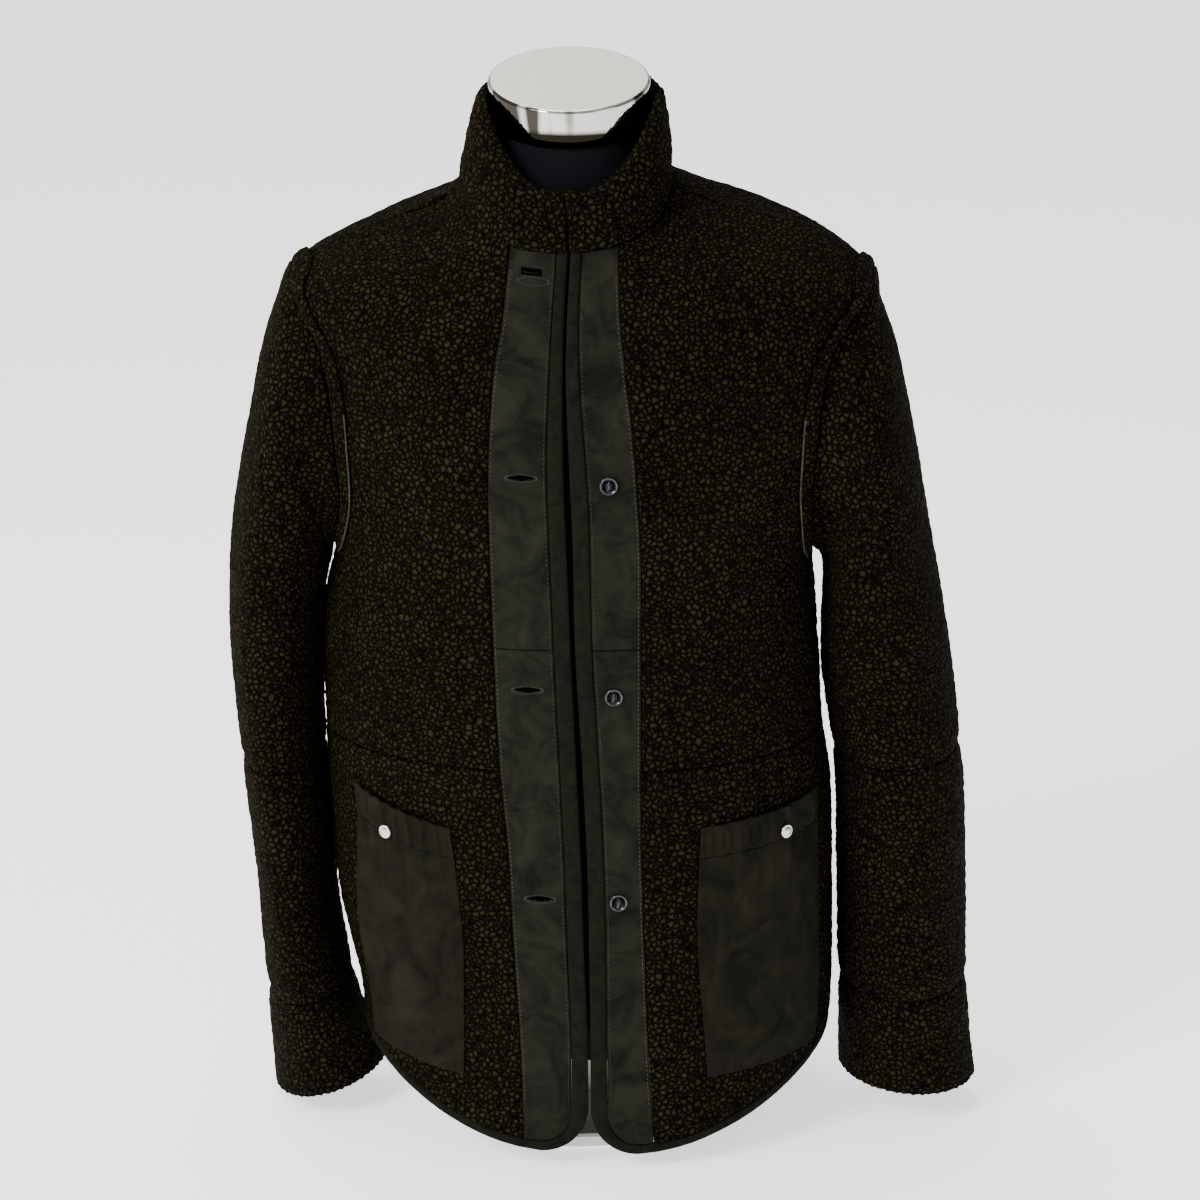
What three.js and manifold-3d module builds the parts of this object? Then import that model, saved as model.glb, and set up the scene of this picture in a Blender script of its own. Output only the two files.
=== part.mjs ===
// Sherpa lined jacket on a limbless dress form, in millimetres, +Z up.
// The front faces -Y and the wearer's left is +X. The origin is the centre of the foot's underside.
import * as THREE from "three";
import { mergeVertices } from "three/addons/utils/BufferGeometryUtils.js";
import Module from "manifold-3d";

const wasm = await Module();
wasm.setup();

// Cloth
const SEAM = 0.3; // gap between two pieces at a seam
const FLEECE = 6; // shearling wall, skin and pile together
const SUEDE = 1.4; // single suede, as on the pockets
const STRIP_WALL = 4; // placket strips, suede side out
const STRIP_LIFT = -1; // their outside lies under the pile's
const SQUARENESS = 2.25; // exponent of the body's superellipses

// Body
const NECK_RING = 767;
const WAIST_SEAM = 335;
const PLACKET_SEAM = 434;
const BODY = [
  { ring: 0, half: 187, front: 150, back: 124, frontTilt: 0, backTilt: 0, shift: 13 },
  { ring: 91, half: 191, front: 149, back: 122, frontTilt: 0, backTilt: 0, shift: 14.2 },
  { ring: 200, half: 200.5, front: 147, back: 117, frontTilt: 0, backTilt: 0, shift: 4.5 },
  { ring: 283, half: 201.5, front: 145, back: 112, frontTilt: 0, backTilt: 0, shift: 0.5 },
  { ring: 335, half: 198.8, front: 144, back: 110, frontTilt: 0, backTilt: 0, shift: -4.3 },
  { ring: 428, half: 195.3, front: 142.5, back: 110, frontTilt: 0, backTilt: 0, shift: -6.8 },
  { ring: 486, half: 187, front: 142, back: 113, frontTilt: 0, backTilt: 0, shift: -3 },
  { ring: 530, half: 185, front: 141.5, back: 117, frontTilt: 0, backTilt: 0, shift: 0 },
  { ring: 570, half: 188, front: 140.5, back: 119, frontTilt: 0, backTilt: 0, shift: 0 },
  { ring: 610, half: 192, front: 137, back: 119, frontTilt: 0.01, backTilt: 0.01, shift: 0 },
  { ring: 650, half: 200, front: 131, back: 117, frontTilt: 0.06, backTilt: 0.03, shift: 0 },
  { ring: 680, half: 216, front: 124, back: 113, frontTilt: 0.11, backTilt: 0.06, shift: 0 },
  { ring: 697, half: 224.5, front: 118.5, back: 110, frontTilt: 0.14, backTilt: 0.07, shift: 2.5 },
  { ring: 703, half: 219.5, front: 117, back: 108, frontTilt: 0.155, backTilt: 0.08, shift: 3 },
  { ring: 733, half: 166, front: 106, back: 98, frontTilt: 0.26, backTilt: 0.13, shift: 8 },
  { ring: 752, half: 106.5, front: 98, back: 88, frontTilt: 0.33, backTilt: 0.17, shift: 0 },
  { ring: 767, half: 79, front: 92, back: 76, frontTilt: 0.36, backTilt: 0.2, shift: -10 },
];
const ARMHOLE = { middle: 591, half: 106, front: 66, back: 72, squareness: 2.4, crown: 0.62 };

// Front edges, placket edges and hems, for the wearer's right (side -1) and left (side +1).
const EDGE = {
  "-1": [
    { z: 16, x: 12.6 },
    { z: 110, x: 12.1 },
    { z: 184, x: 9.4 },
    { z: 273, x: 6.4 },
    { z: 388, x: 1.2 },
    { z: 496, x: -3.2 },
    { z: 594, x: -6.5 },
    { z: 652, x: -6.8 },
    { z: 697, x: -6 },
    { z: 736, x: -4 },
  ],
  1: [
    { z: 22, x: 14.8 },
    { z: 110, x: 14.1 },
    { z: 233, x: 12.4 },
    { z: 345, x: 7.6 },
    { z: 434, x: 2.4 },
    { z: 521, x: 0.6 },
    { z: 594, x: -2.6 },
    { z: 652, x: -4.7 },
    { z: 684, x: -4.4 },
    { z: 734, x: -2.4 },
  ],
};
const PLACKET = {
  "-1": [
    { z: 24, x: -39 },
    { z: 91, x: -41 },
    { z: 181, x: -46 },
    { z: 270, x: -50.5 },
    { z: 340, x: -56.5 },
    { z: 432, x: -60.5 },
    { z: 556, x: -63.8 },
    { z: 592, x: -63 },
    { z: 650, x: -59 },
    { z: 690, x: -52.5 },
    { z: 734, x: -49 },
  ],
  1: [
    { z: 32, x: 64.5 },
    { z: 68, x: 62 },
    { z: 157, x: 58 },
    { z: 244, x: 55 },
    { z: 331, x: 53.4 },
    { z: 495, x: 53 },
    { z: 557, x: 50 },
    { z: 605, x: 46 },
    { z: 645, x: 41 },
    { z: 696, x: 35.5 },
    { z: 730, x: 34 },
  ],
};
const HEM = {
  "-1": { low: 16, side: 70, flat: 35, bend: 1.75 },
  1: { low: 14, side: 64, flat: 40, bend: 1.8 },
  middle: 12,
  reach: 178,
};
const BACK_HEM = { middle: 64, side: 88 };
const CORNER = 38; // radius of the rounded front corners
// Bindings: their width beside the fronts' edges, which narrows toward the top, and along the hems.
const BINDING = {
  front: 13,
  frontTop: 8.5,
  from: 540,
  to: 720,
  hem: 8,
  lift: -0.5,
  wall: 5,
  crown: 0.7,
  under: -0.3,
};
const BINDING_ROWS = [335, 268, 190, 120];
const CORNER_STEPS = 6;
const HEM_RING = 40; // the ring whose turns the rows along a front hem take

// Rows of the panels: fixed ring heights, and shares of the way from the hem to the waist seam.
const UPPER_ROWS = [
  375, 434, 462, 485, 489, 500, 522, 555, 595, 635, 668, 687, 697, 704, 718, 735, 751, 767,
];
const LOWER_SHARES = [0, 0.008, 0.03, 0.08, 0.2, 0.4, 0.7, 1];
const PANEL_COLUMNS = 9;

// Sleeves: a section every few centimetres, from its outer to its inner silhouette, with its depths.
const SLEEVE = {
  "-1": [
    { down: 20, outX: 233, outZ: 680, inX: 195, inZ: 476, front: 78, back: 80 },
    { down: 60, outX: 246, outZ: 641, inX: 196, inZ: 464, front: 82, back: 84 },
    { down: 110, outX: 256, outZ: 593, inX: 199, inZ: 452, front: 84, back: 85 },
    { down: 165, outX: 267, outZ: 538, inX: 202.5, inZ: 434, front: 83, back: 83 },
    { down: 220, outX: 275, outZ: 483, inX: 204.5, inZ: 411, front: 81, back: 80 },
    { down: 290, outX: 278, outZ: 418, inX: 205, inZ: 375, front: 78, back: 76 },
    { down: 350, outX: 275, outZ: 352, inX: 205, inZ: 332, front: 76, back: 72 },
    { down: 400, outX: 272, outZ: 305, inX: 203.5, inZ: 303, front: 75, back: 68 },
    { down: 450, outX: 267, outZ: 258, inX: 201, inZ: 258, front: 76, back: 62 },
    { down: 520, outX: 261, outZ: 190, inX: 198.5, inZ: 192, front: 75, back: 53 },
    { down: 590, outX: 258, outZ: 124, inX: 190.5, inZ: 128, front: 72, back: 44 },
    { down: 615, outX: 256, outZ: 100, inX: 185.5, inZ: 106, front: 71, back: 42 },
    { down: 640, outX: 255, outZ: 76, inX: 182, inZ: 86, front: 71, back: 41 },
    { down: 690, outX: 252, outZ: 10, inX: 158, inZ: 36, front: 68, back: 38 },
  ],
  1: [
    { down: 20, outX: 233, outZ: 680, inX: 189.5, inZ: 474, front: 78, back: 80 },
    { down: 60, outX: 247, outZ: 641, inX: 192, inZ: 465, front: 82, back: 84 },
    { down: 110, outX: 258, outZ: 593, inX: 192.8, inZ: 452, front: 84, back: 85 },
    { down: 165, outX: 269, outZ: 538, inX: 192.4, inZ: 434, front: 82, back: 82 },
    { down: 220, outX: 279, outZ: 483, inX: 191.9, inZ: 411, front: 79, back: 78 },
    { down: 290, outX: 291, outZ: 418, inX: 193.5, inZ: 375, front: 75, back: 74 },
    { down: 350, outX: 301, outZ: 357, inX: 198.5, inZ: 338, front: 72, back: 69 },
    { down: 400, outX: 306, outZ: 314, inX: 202.5, inZ: 311, front: 71, back: 65 },
    { down: 450, outX: 310, outZ: 262, inX: 207, inZ: 262, front: 70, back: 59 },
    { down: 520, outX: 313, outZ: 195, inX: 208.5, inZ: 197, front: 68, back: 50 },
    { down: 590, outX: 315, outZ: 132, inX: 210, inZ: 134, front: 66, back: 43 },
    { down: 615, outX: 316, outZ: 112, inX: 211, inZ: 112, front: 66, back: 42 },
    { down: 640, outX: 318, outZ: 86, inX: 212, inZ: 88, front: 66, back: 41 },
    { down: 690, outX: 325, outZ: 25, inX: 213, inZ: 34, front: 64, back: 38 },
  ],
};
const ELBOW_SEAM = 400;
const CUFF_SEAM = 615;
const SLEEVE_POINTS = 32;
const SLEEVE_RINGS = {
  upper: [20, 38, 62, 90, 125, 165, 215, 275, 340, 385, 400],
  lower: [400, 415, 455, 510, 565, 615],
  cuff: [615, 628, 690],
};
// Soft ridges down the sleeves: where they start and end, their place round the section, height, width.
const SLEEVE_RIDGES = {
  "-1": [
    { from: 40, to: 620, turn: 62, drift: 14, height: 5, width: 24 },
    { from: 150, to: 420, turn: 120, drift: -10, height: 3, width: 22 },
  ],
  1: [
    { from: 60, to: 330, turn: 128, drift: -12, height: 6, width: 26 },
    { from: 250, to: 680, turn: 70, drift: 20, height: 3.5, width: 28 },
  ],
};
const SEAM_PINCH = 2; // how far the wall draws in at a sleeve seam
// The head: how far it lies off the armhole's edge, its wall at the crown, and the swell of the shoulder.
const LAP = { lift: 0.9, crownWall: 3, crownInset: 4, outerInset: 7, innerInset: 1, from: 12, to: 48 };
const SHOULDER = { toward: 0.3, swell: 1, across: 0.8, up: 0.6 };
const RIDGE_ROUNDING = 0.7;
const PINCH_REACH = 9;
const ARMHOLE_STRIP = { from: 9, to: 20, lift: 1.3, wall: 1.2, reach: 152, steps: 34 };

// Collar
const COLLAR = {
  wall: 7,
  over: 3,
  seat: 0.9,
  top: { half: 71.5, front: 80, back: 74, shift: -5.5 },
  topHeight: { front: 776, side: 836, back: 850 },
  gap: 0.6,
  rise: 2.4, // how late the rim rises on its way round to the side
  bulge: 2,
  rounding: { from: 0.8, depth: 1.5 },
  frontTopX: -7.4,
  frontBaseX: -3.2,
  rows: 4,
  points: 36,
};

// Pockets, with their inner edges, and the gathers under the elastic
const POCKET = {
  "-1": {
    inner: [
      { z: 78, x: -86 },
      { z: 177, x: -85 },
      { z: 253, x: -91 },
      { z: 283, x: -94.5 },
    ],
    outerTurn: [0.742, 0.625],
    bottom: [75, 82],
    top: [284, 305],
  },
  1: {
    inner: [
      { z: 80, x: 106 },
      { z: 213, x: 97 },
      { z: 286, x: 99 },
    ],
    outerTurn: [0.746, 0.758],
    bottom: [77, 82],
    top: [287, 295],
  },
  from: 90, // heights between which the outer edge's turn changes
  to: 280,
  band: 25,
  gathers: 8,
  puff: 2.4,
  columns: 16,
  rows: [0, 0.12, 0.32, 0.55, 0.74, 0.87, 1],
  closing: 8, // how steeply the bag closes toward its sewn edges
  swell: 0.6,
  gather: { height: 0.8, fade: 0.16 },
  crease: { at: 0.52, width: 0.05, height: 1.2 },
  casing: { extra: 0.4, bulge: 0.6 },
};

// Fastenings
const BUTTONS = [
  { x: 28, z: 565 },
  { x: 32, z: 397 },
  { x: 36, z: 229 },
];
const BUTTON = { radius: 7, thick: 2.6, rim: 1, hole: 0.9, spread: 1.7, waist: 0.5, dish: 0.75 };
const BUTTONHOLES = [
  { x: -30, z: 719 },
  { x: -38, z: 570 },
  { x: -34, z: 402 },
  { x: -25, z: 231 },
];
const BUTTONHOLE = { length: 22, width: 3.4, cut: 40, segments: 5 };
const SNAPS = { "-1": { x: -143.5, z: 274 }, 1: { x: 161.5, z: 273 } };
const SNAP = {
  radius: 5.6,
  height: 2.4,
  edge: 0.4, // the edge's and the dome's sizes are shares of the cap's
  dome: { radius: 0.8, height: 0.85 },
  clear: 1,
  probe: 0.04,
};

// Dress form
const SHOULDER_TOP = { from: 690, to: 720, turnFrom: 0.45, turnTo: 0.9 }; // where the cloth rests on the form
const NECK_RISE = { from: 742, to: 756 }; // where the form draws back from the neck seam
const NECK_SHARES = [0.15, 0.4, 0.7, 1];
const TORSO = {
  bottom: 48,
  round: 150,
  flatten: 4,
  rest: 1.3, // clearance to the cloth where it rests, elsewhere, and more at the neck
  ease: 9,
  atNeck: 3.5,
  neck: 59,
  neckEase: 0.6,
  points: 26,
};
const CAP = { x: -7, y: 0, top: 847, radius: 62, height: 30, tilt: 13, edge: 2.5, easing: 0.3 };
const FOOT = { radius: 110, thick: 12, post: 27, edge: 2 };

const FLEECE_LOOK = { color: 0x2a261d, roughness: 1, metalness: 0 };
const SUEDE_LOOK = { color: 0x3a3d33, roughness: 0.95, metalness: 0 };
const BINDING_LOOK = { color: 0x33362d, roughness: 0.9, metalness: 0 };
const BUTTON_LOOK = { color: 0x14151a, roughness: 0.2, metalness: 0 };
const SNAP_LOOK = { color: 0xb9b9b4, roughness: 0.3, metalness: 1 };
const JERSEY_LOOK = { color: 0x15161c, roughness: 0.95, metalness: 0 };
const CHROME_LOOK = { color: 0xd8d8d8, roughness: 0.08, metalness: 1 };
const ENAMEL_LOOK = { color: 0xe6e5e1, roughness: 0.4, metalness: 0 };

const FRONT = -1;
const BACK = 1;
const radians = THREE.MathUtils.degToRad;
const mix = THREE.MathUtils.lerp;
const clamp = THREE.MathUtils.clamp;
const blend = THREE.MathUtils.smoothstep;

const jacket = new THREE.Group();

function add(name, geometry, look) {
  const mesh = new THREE.Mesh(geometry, new THREE.MeshStandardMaterial(look));
  mesh.name = name;
  jacket.add(mesh);
  return mesh;
}

// The value of a table's column at a place, on a smooth curve that never overshoots its rows.
function along(table, key, column, at) {
  const last = table.length - 2;
  let i = 0;
  while (i < last && at > table[i + 1][key]) i++;
  const step = (j) => table[j + 1][key] - table[j][key];
  const secant = (j) => (table[j + 1][column] - table[j][column]) / step(j);
  const slope = (j) => {
    const before = secant(Math.max(j - 1, 0));
    const after = secant(Math.min(j, last));
    return before * after <= 0 ? 0 : (2 * before * after) / (before + after);
  };
  const h = step(i);
  const t = clamp((at - table[i][key]) / h, 0, 1);
  const t2 = t * t;
  const t3 = t2 * t;
  return (
    (2 * t3 - 3 * t2 + 1) * table[i][column] +
    (t3 - 2 * t2 + t) * h * slope(i) +
    (3 * t2 - 2 * t3) * table[i + 1][column] +
    (t3 - t2) * h * slope(i + 1)
  );
}

const body = (ring, column) => along(BODY, "ring", column, ring);
const signedPower = (value, power) => Math.sign(value) * Math.abs(value) ** power;

// How far the armhole's edge stands forward or back of the side, 0 outside the armhole.
function armholeReach(half, ring) {
  const w = Math.abs(ring - ARMHOLE.middle) / ARMHOLE.half;
  if (w >= 1) return 0;
  return (half === FRONT ? ARMHOLE.front : ARMHOLE.back) * Math.sqrt(1 - w ** ARMHOLE.squareness);
}

// One half of a body ring: its semi-axes and the angle at which its panel ends.
function ringShape(half, ring) {
  const depth = body(ring, half === FRONT ? "front" : "back");
  const share = 1 - (armholeReach(half, ring) / depth) ** SQUARENESS;
  return {
    depth,
    width: body(ring, "half") / share ** (1 / SQUARENESS),
    last: Math.asin(Math.sqrt(share)),
    tilt: body(ring, half === FRONT ? "frontTilt" : "backTilt"),
    shift: body(ring, "shift"),
  };
}

// A point of the jacket's outside. turn runs from -1 at the wearer's right side to 1 at the left side.
function ringPoint(half, ring, turn, closed = false) {
  const shape = ringShape(half, ring);
  const angle = turn * (closed ? Math.PI / 2 : shape.last);
  const x = shape.width * signedPower(Math.sin(angle), 2 / SQUARENESS);
  const y = half * shape.depth * Math.max(Math.cos(angle), 0) ** (2 / SQUARENESS);
  return new THREE.Vector3(shape.shift + x, y + (half * SEAM) / 2, ring + shape.tilt * y);
}

// The same point moved out along the surface's normal. At a side seam the move stays in the seam's plane.
function skin(half, ring, turn, lift, closed = false) {
  const point = ringPoint(half, ring, turn, closed);
  if (lift === 0) return point;
  const small = 0.002;
  const t0 = Math.max(turn - small, -1);
  const t1 = Math.min(turn + small, 1);
  const r1 = Math.min(ring + 0.5, NECK_RING);
  const across = ringPoint(half, ring, t1, closed).sub(ringPoint(half, ring, t0, closed));
  const up = ringPoint(half, r1, turn, closed).sub(ringPoint(half, r1 - 1, turn, closed));
  const normal = across.cross(up).multiplyScalar(-half);
  if (Math.abs(turn) > 1 - small && (closed || armholeReach(half, ring) === 0)) normal.y = 0;
  return point.addScaledVector(normal.normalize(), lift);
}

// The turn at which a ring passes a given x.
function turnOf(half, ring, x) {
  const shape = ringShape(half, ring);
  const share = clamp(Math.abs(x - shape.shift) / shape.width, 0, 1);
  const angle = Math.asin(share ** (SQUARENESS / 2));
  return clamp((Math.sign(x - shape.shift) * angle) / shape.last, -1, 1);
}

// The height at which a ring passes the centre front.
const frontHeight = (ring) => ring - body(ring, "frontTilt") * body(ring, "front");
const edgeX = (side, z) => along(EDGE[side], "z", "x", z);
const placketX = (side, z) => along(PLACKET[side], "z", "x", z);
const bindingWidth = (z) =>
  mix(BINDING.front, BINDING.frontTop, blend(z, BINDING.from, BINDING.to));

// The front hem's height at an x, and the back hem's at a turn.
function hemHeight(side, x) {
  const { low, side: high, flat, bend } = HEM[side];
  const share = clamp((Math.abs(x - HEM.middle) - flat) / (HEM.reach - flat), 0, 1.1);
  return mix(low, high, share ** bend);
}
const backHemHeight = (turn) => mix(BACK_HEM.middle, BACK_HEM.side, turn * turn);

// A closed wall from two grids of points, one row of points after another.
function wall(outer, inner, around = false) {
  const rows = outer.length;
  const columns = outer[0].length;
  const positions = [];
  for (const grid of [outer, inner]) {
    for (const row of grid) for (const p of row) positions.push(p.x, p.y, p.z);
  }
  const at = (layer, i, j) => (layer * rows + i) * columns + (j % columns);
  const faces = [];
  const quad = (a, b, c, d) => faces.push(a, b, c, a, c, d);
  const spans = around ? columns : columns - 1;
  for (let i = 0; i < rows - 1; i++)
    for (let j = 0; j < spans; j++) {
      quad(at(0, i, j), at(0, i, j + 1), at(0, i + 1, j + 1), at(0, i + 1, j));
      quad(at(1, i, j), at(1, i + 1, j), at(1, i + 1, j + 1), at(1, i, j + 1));
    }
  for (let j = 0; j < spans; j++) {
    quad(at(0, 0, j), at(1, 0, j), at(1, 0, j + 1), at(0, 0, j + 1));
    quad(at(0, rows - 1, j), at(0, rows - 1, j + 1), at(1, rows - 1, j + 1), at(1, rows - 1, j));
  }
  if (!around)
    for (let i = 0; i < rows - 1; i++) {
      quad(at(0, i, 0), at(0, i + 1, 0), at(1, i + 1, 0), at(1, i, 0));
      quad(at(0, i, spans), at(1, i, spans), at(1, i + 1, spans), at(0, i + 1, spans));
    }
  return facingOut(positions, faces);
}

// A solid from rings of points stacked along an axis, closed by a flat fan at each end.
function stack(rings) {
  const columns = rings[0].length;
  const positions = [];
  for (const ring of rings) for (const p of ring) positions.push(p.x, p.y, p.z);
  const faces = [];
  for (let i = 0; i < rings.length - 1; i++)
    for (let j = 0; j < columns; j++) {
      const a = i * columns + j;
      const b = i * columns + ((j + 1) % columns);
      faces.push(a, b, b + columns, a, b + columns, a + columns);
    }
  for (const [row, turned] of [
    [0, true],
    [rings.length - 1, false],
  ]) {
    const middle = new THREE.Vector3();
    for (const p of rings[row]) middle.addScaledVector(p, 1 / columns);
    const hub = positions.length / 3;
    positions.push(middle.x, middle.y, middle.z);
    for (let j = 0; j < columns; j++) {
      const a = row * columns + j;
      const b = row * columns + ((j + 1) % columns);
      faces.push(hub, turned ? b : a, turned ? a : b);
    }
  }
  return facingOut(positions, faces);
}

function facingOut(positions, faces) {
  const p = (i) => new THREE.Vector3(...positions.slice(3 * i, 3 * i + 3));
  let volume = 0;
  for (let f = 0; f < faces.length; f += 3)
    volume += p(faces[f]).dot(p(faces[f + 1]).cross(p(faces[f + 2])));
  if (volume < 0)
    for (let f = 0; f < faces.length; f += 3) [faces[f], faces[f + 1]] = [faces[f + 1], faces[f]];
  const geometry = new THREE.BufferGeometry();
  geometry.setAttribute("position", new THREE.Float32BufferAttribute(positions, 3));
  geometry.setIndex(faces);
  geometry.computeVertexNormals();
  return geometry;
}

// A wall of the body from rows of { ring, turn } places.
function panel(half, places, outerLift, innerLift) {
  const grid = (lift) => places.map((row) => row.map(({ ring, turn }) => skin(half, ring, turn, lift)));
  return wall(grid(outerLift), grid(innerLift));
}

function solidOf(geometry) {
  const bare = geometry.clone();
  bare.deleteAttribute("normal");
  bare.deleteAttribute("uv");
  const merged = mergeVertices(bare, 1e-4);
  return new wasm.Manifold(
    new wasm.Mesh({
      numProp: 3,
      vertProperties: new Float32Array(merged.attributes.position.array),
      triVerts: new Uint32Array(merged.index.array),
    }),
  );
}

function cut(geometry, cutters) {
  let solid = solidOf(geometry);
  for (const cutter of cutters) solid = solid.subtract(solidOf(cutter));
  const mesh = solid.getMesh();
  const result = new THREE.BufferGeometry();
  result.setAttribute("position", new THREE.Float32BufferAttribute(mesh.vertProperties, 3));
  result.setIndex([...mesh.triVerts]);
  result.computeVertexNormals();
  return result;
}

const shares = (count) => Array.from({ length: count + 1 }, (_, i) => i / count);

// Places across a front, from the placket's outer edge to the side seam.
function frontPlace(side, ring, share) {
  const start = turnOf(FRONT, ring, placketX(side, frontHeight(ring)) + (side * SEAM) / 2);
  return { ring, turn: mix(start, side, share) };
}

// The hem's own turn at a share of the way across a front, and the height of the binding's upper edge.
const hemPlace = (side, share) => frontPlace(side, HEM_RING, share);
function bindingTop(side, turn) {
  return hemHeight(side, ringPoint(FRONT, 60, turn).x) + BINDING.hem;
}

function lowerRing(side, turn, share) {
  const foot = bindingTop(side, turn) + SEAM;
  return mix(foot, WAIST_SEAM - SEAM / 2, share);
}

// Fronts: an upper and a lower panel on each side, joined at the waist seam.
for (const [side, name] of [
  [-1, "right"],
  [1, "left"],
]) {
  const upper = [WAIST_SEAM + SEAM / 2, ...UPPER_ROWS].map((ring) =>
    shares(PANEL_COLUMNS).map((share) => frontPlace(side, ring, share)),
  );
  add(`front_upper_${name}`, panel(FRONT, upper, 0, -FLEECE), FLEECE_LOOK);
  const lower = LOWER_SHARES.map((up) =>
    shares(PANEL_COLUMNS).map((share) => {
      const ring = lowerRing(side, hemPlace(side, share).turn, up);
      return frontPlace(side, ring, share);
    }),
  );
  add(`front_lower_${name}`, panel(FRONT, lower, 0, -FLEECE), FLEECE_LOOK);
}

// Back: one panel from side seam to side seam.
const BACK_ROWS = [
  0, 0.08, 0.25, 0.45, 0.65, 0.85, 1,
].map((share) => (turn) => mix(backHemHeight(turn) + BINDING.hem + SEAM, 450, share));
const BACK_RINGS = [485, 488, 495, 510, 545, 590, 635, 668, 687, 697, 704, 720, 736, 752, 767];
const BACK_COLUMNS = 16;
const backTurns = shares(BACK_COLUMNS).map((share) => mix(-1, 1, share));
const backPlaces = [
  ...BACK_ROWS.map((row) => backTurns.map((turn) => ({ ring: row(turn), turn }))),
  ...BACK_RINGS.map((ring) => backTurns.map((turn) => ({ ring, turn }))),
];
add("back", panel(BACK, backPlaces, 0, -FLEECE), FLEECE_LOOK);

// Placket strips: suede side out, from the front edge's binding to the placket's outer edge.
const cornerHeight = (side) => HEM[side].low + CORNER;
function stripEdgeX(side, z) {
  const width = bindingWidth(z);
  const straight = edgeX(side, z) + side * (width + SEAM);
  const below = cornerHeight(side) - z;
  if (below <= 0) return straight;
  const centre = edgeX(side, cornerHeight(side)) + side * CORNER;
  const across = CORNER - BINDING.front - SEAM;
  const down = CORNER - BINDING.hem - SEAM;
  return centre - side * across * Math.sqrt(Math.max(1 - (below / down) ** 2, 0));
}

function stripRow(side, ring, ringAt = () => ring) {
  return [0, 0.33, 0.67, 1].map((share) => {
    const z = frontHeight(ring);
    const x = mix(stripEdgeX(side, z), placketX(side, z) - (side * SEAM) / 2, share);
    const placed = ringAt(x);
    return { ring: placed, turn: turnOf(FRONT, placed, x) };
  });
}

function buttonholeCutter({ x, z }) {
  const { length, width } = BUTTONHOLE;
  const lens = new THREE.Shape();
  lens.moveTo(-length / 2, 0);
  lens.quadraticCurveTo(0, width, length / 2, 0);
  lens.quadraticCurveTo(0, -width, -length / 2, 0);
  const settings = { depth: BUTTONHOLE.cut, bevelEnabled: false, curveSegments: BUTTONHOLE.segments };
  const cutter = new THREE.ExtrudeGeometry(lens, settings);
  const turn = turnOf(FRONT, z, x);
  const middle = skin(FRONT, z + body(z, "frontTilt") * body(z, "front"), turn, 0);
  return cutter.rotateX(Math.PI / 2).translate(x, middle.y + BUTTONHOLE.cut / 2, middle.z);
}

for (const [side, name] of [
  [-1, "right"],
  [1, "left"],
]) {
  const upper = [PLACKET_SEAM + SEAM / 2, ...UPPER_ROWS.filter((ring) => ring > PLACKET_SEAM)];
  const lower = [
    ...LOWER_SHARES.map((share) => {
      const foot = HEM[side].low + BINDING.hem + SEAM;
      const ring = mix(foot, WAIST_SEAM - SEAM / 2, share);
      return stripRow(side, ring, (x) => mix(hemHeight(side, x) + BINDING.hem + SEAM, WAIST_SEAM, share));
    }),
    ...[...UPPER_ROWS.filter((ring) => ring < PLACKET_SEAM), PLACKET_SEAM - SEAM / 2].map((ring) =>
      stripRow(side, ring),
    ),
  ];
  const strips = {
    upper: panel(FRONT, upper.map((ring) => stripRow(side, ring)), STRIP_LIFT, STRIP_LIFT - STRIP_WALL),
    lower: panel(FRONT, lower, STRIP_LIFT, STRIP_LIFT - STRIP_WALL),
  };
  if (side === -1) {
    const split = (above) => BUTTONHOLES.filter(({ z }) => z > PLACKET_SEAM === above).map(buttonholeCutter);
    strips.upper = cut(strips.upper, split(true));
    strips.lower = cut(strips.lower, split(false));
  }
  for (const [part, geometry] of Object.entries(strips))
    add(`placket_${part}_${name}`, geometry, SUEDE_LOOK);
}

// Bindings: one strip down each front edge, round the corner and along the hem, and one on the back hem.
function bindingWall(half, path) {
  const row = ({ outer, inner }, lift, crown) =>
    [0, 0.5, 1].map((share) => {
      const x = mix(outer.x, inner.x, share);
      const ring = mix(outer.ring, inner.ring, share);
      const turn = outer.turn ?? turnOf(half, ring, x);
      return skin(half, ring, turn, lift + (share === 0.5 ? crown : 0));
    });
  const top = path.map((place) => row(place, BINDING.lift, BINDING.crown));
  const under = path.map((place) => row(place, BINDING.lift - BINDING.wall, BINDING.under));
  return wall(top, under);
}

for (const [side, name] of [
  [-1, "right"],
  [1, "left"],
]) {
  const path = [];
  const corner = cornerHeight(side);
  const rows = [...UPPER_ROWS].reverse().concat(BINDING_ROWS, corner);
  for (const ring of rows) {
    const z = frontHeight(ring);
    const x = edgeX(side, z);
    path.push({ outer: { x, ring }, inner: { x: x + side * bindingWidth(z), ring } });
  }
  const centre = edgeX(side, corner) + side * CORNER;
  for (let i = 1; i <= CORNER_STEPS; i++) {
    const angle = ((Math.PI / 2) * i) / CORNER_STEPS;
    const place = (across, down) => ({
      x: centre - side * across * Math.cos(angle),
      ring: corner - down * Math.sin(angle),
    });
    path.push({ outer: place(CORNER, CORNER), inner: place(CORNER - BINDING.front, CORNER - BINDING.hem) });
  }
  for (const share of shares(PANEL_COLUMNS)) {
    const turn = hemPlace(side, share).turn;
    const top = bindingTop(side, turn);
    path.push({ outer: { turn, ring: top - BINDING.hem, x: 0 }, inner: { ring: top, x: 0 } });
  }
  add(`binding_${name}`, bindingWall(FRONT, path), BINDING_LOOK);
}
const backPath = backTurns.map((turn) => {
  const ring = backHemHeight(turn);
  return { outer: { turn, ring, x: 0 }, inner: { ring: ring + BINDING.hem, x: 0 } };
});
add("binding_back", bindingWall(BACK, backPath), BINDING_LOOK);

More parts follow.
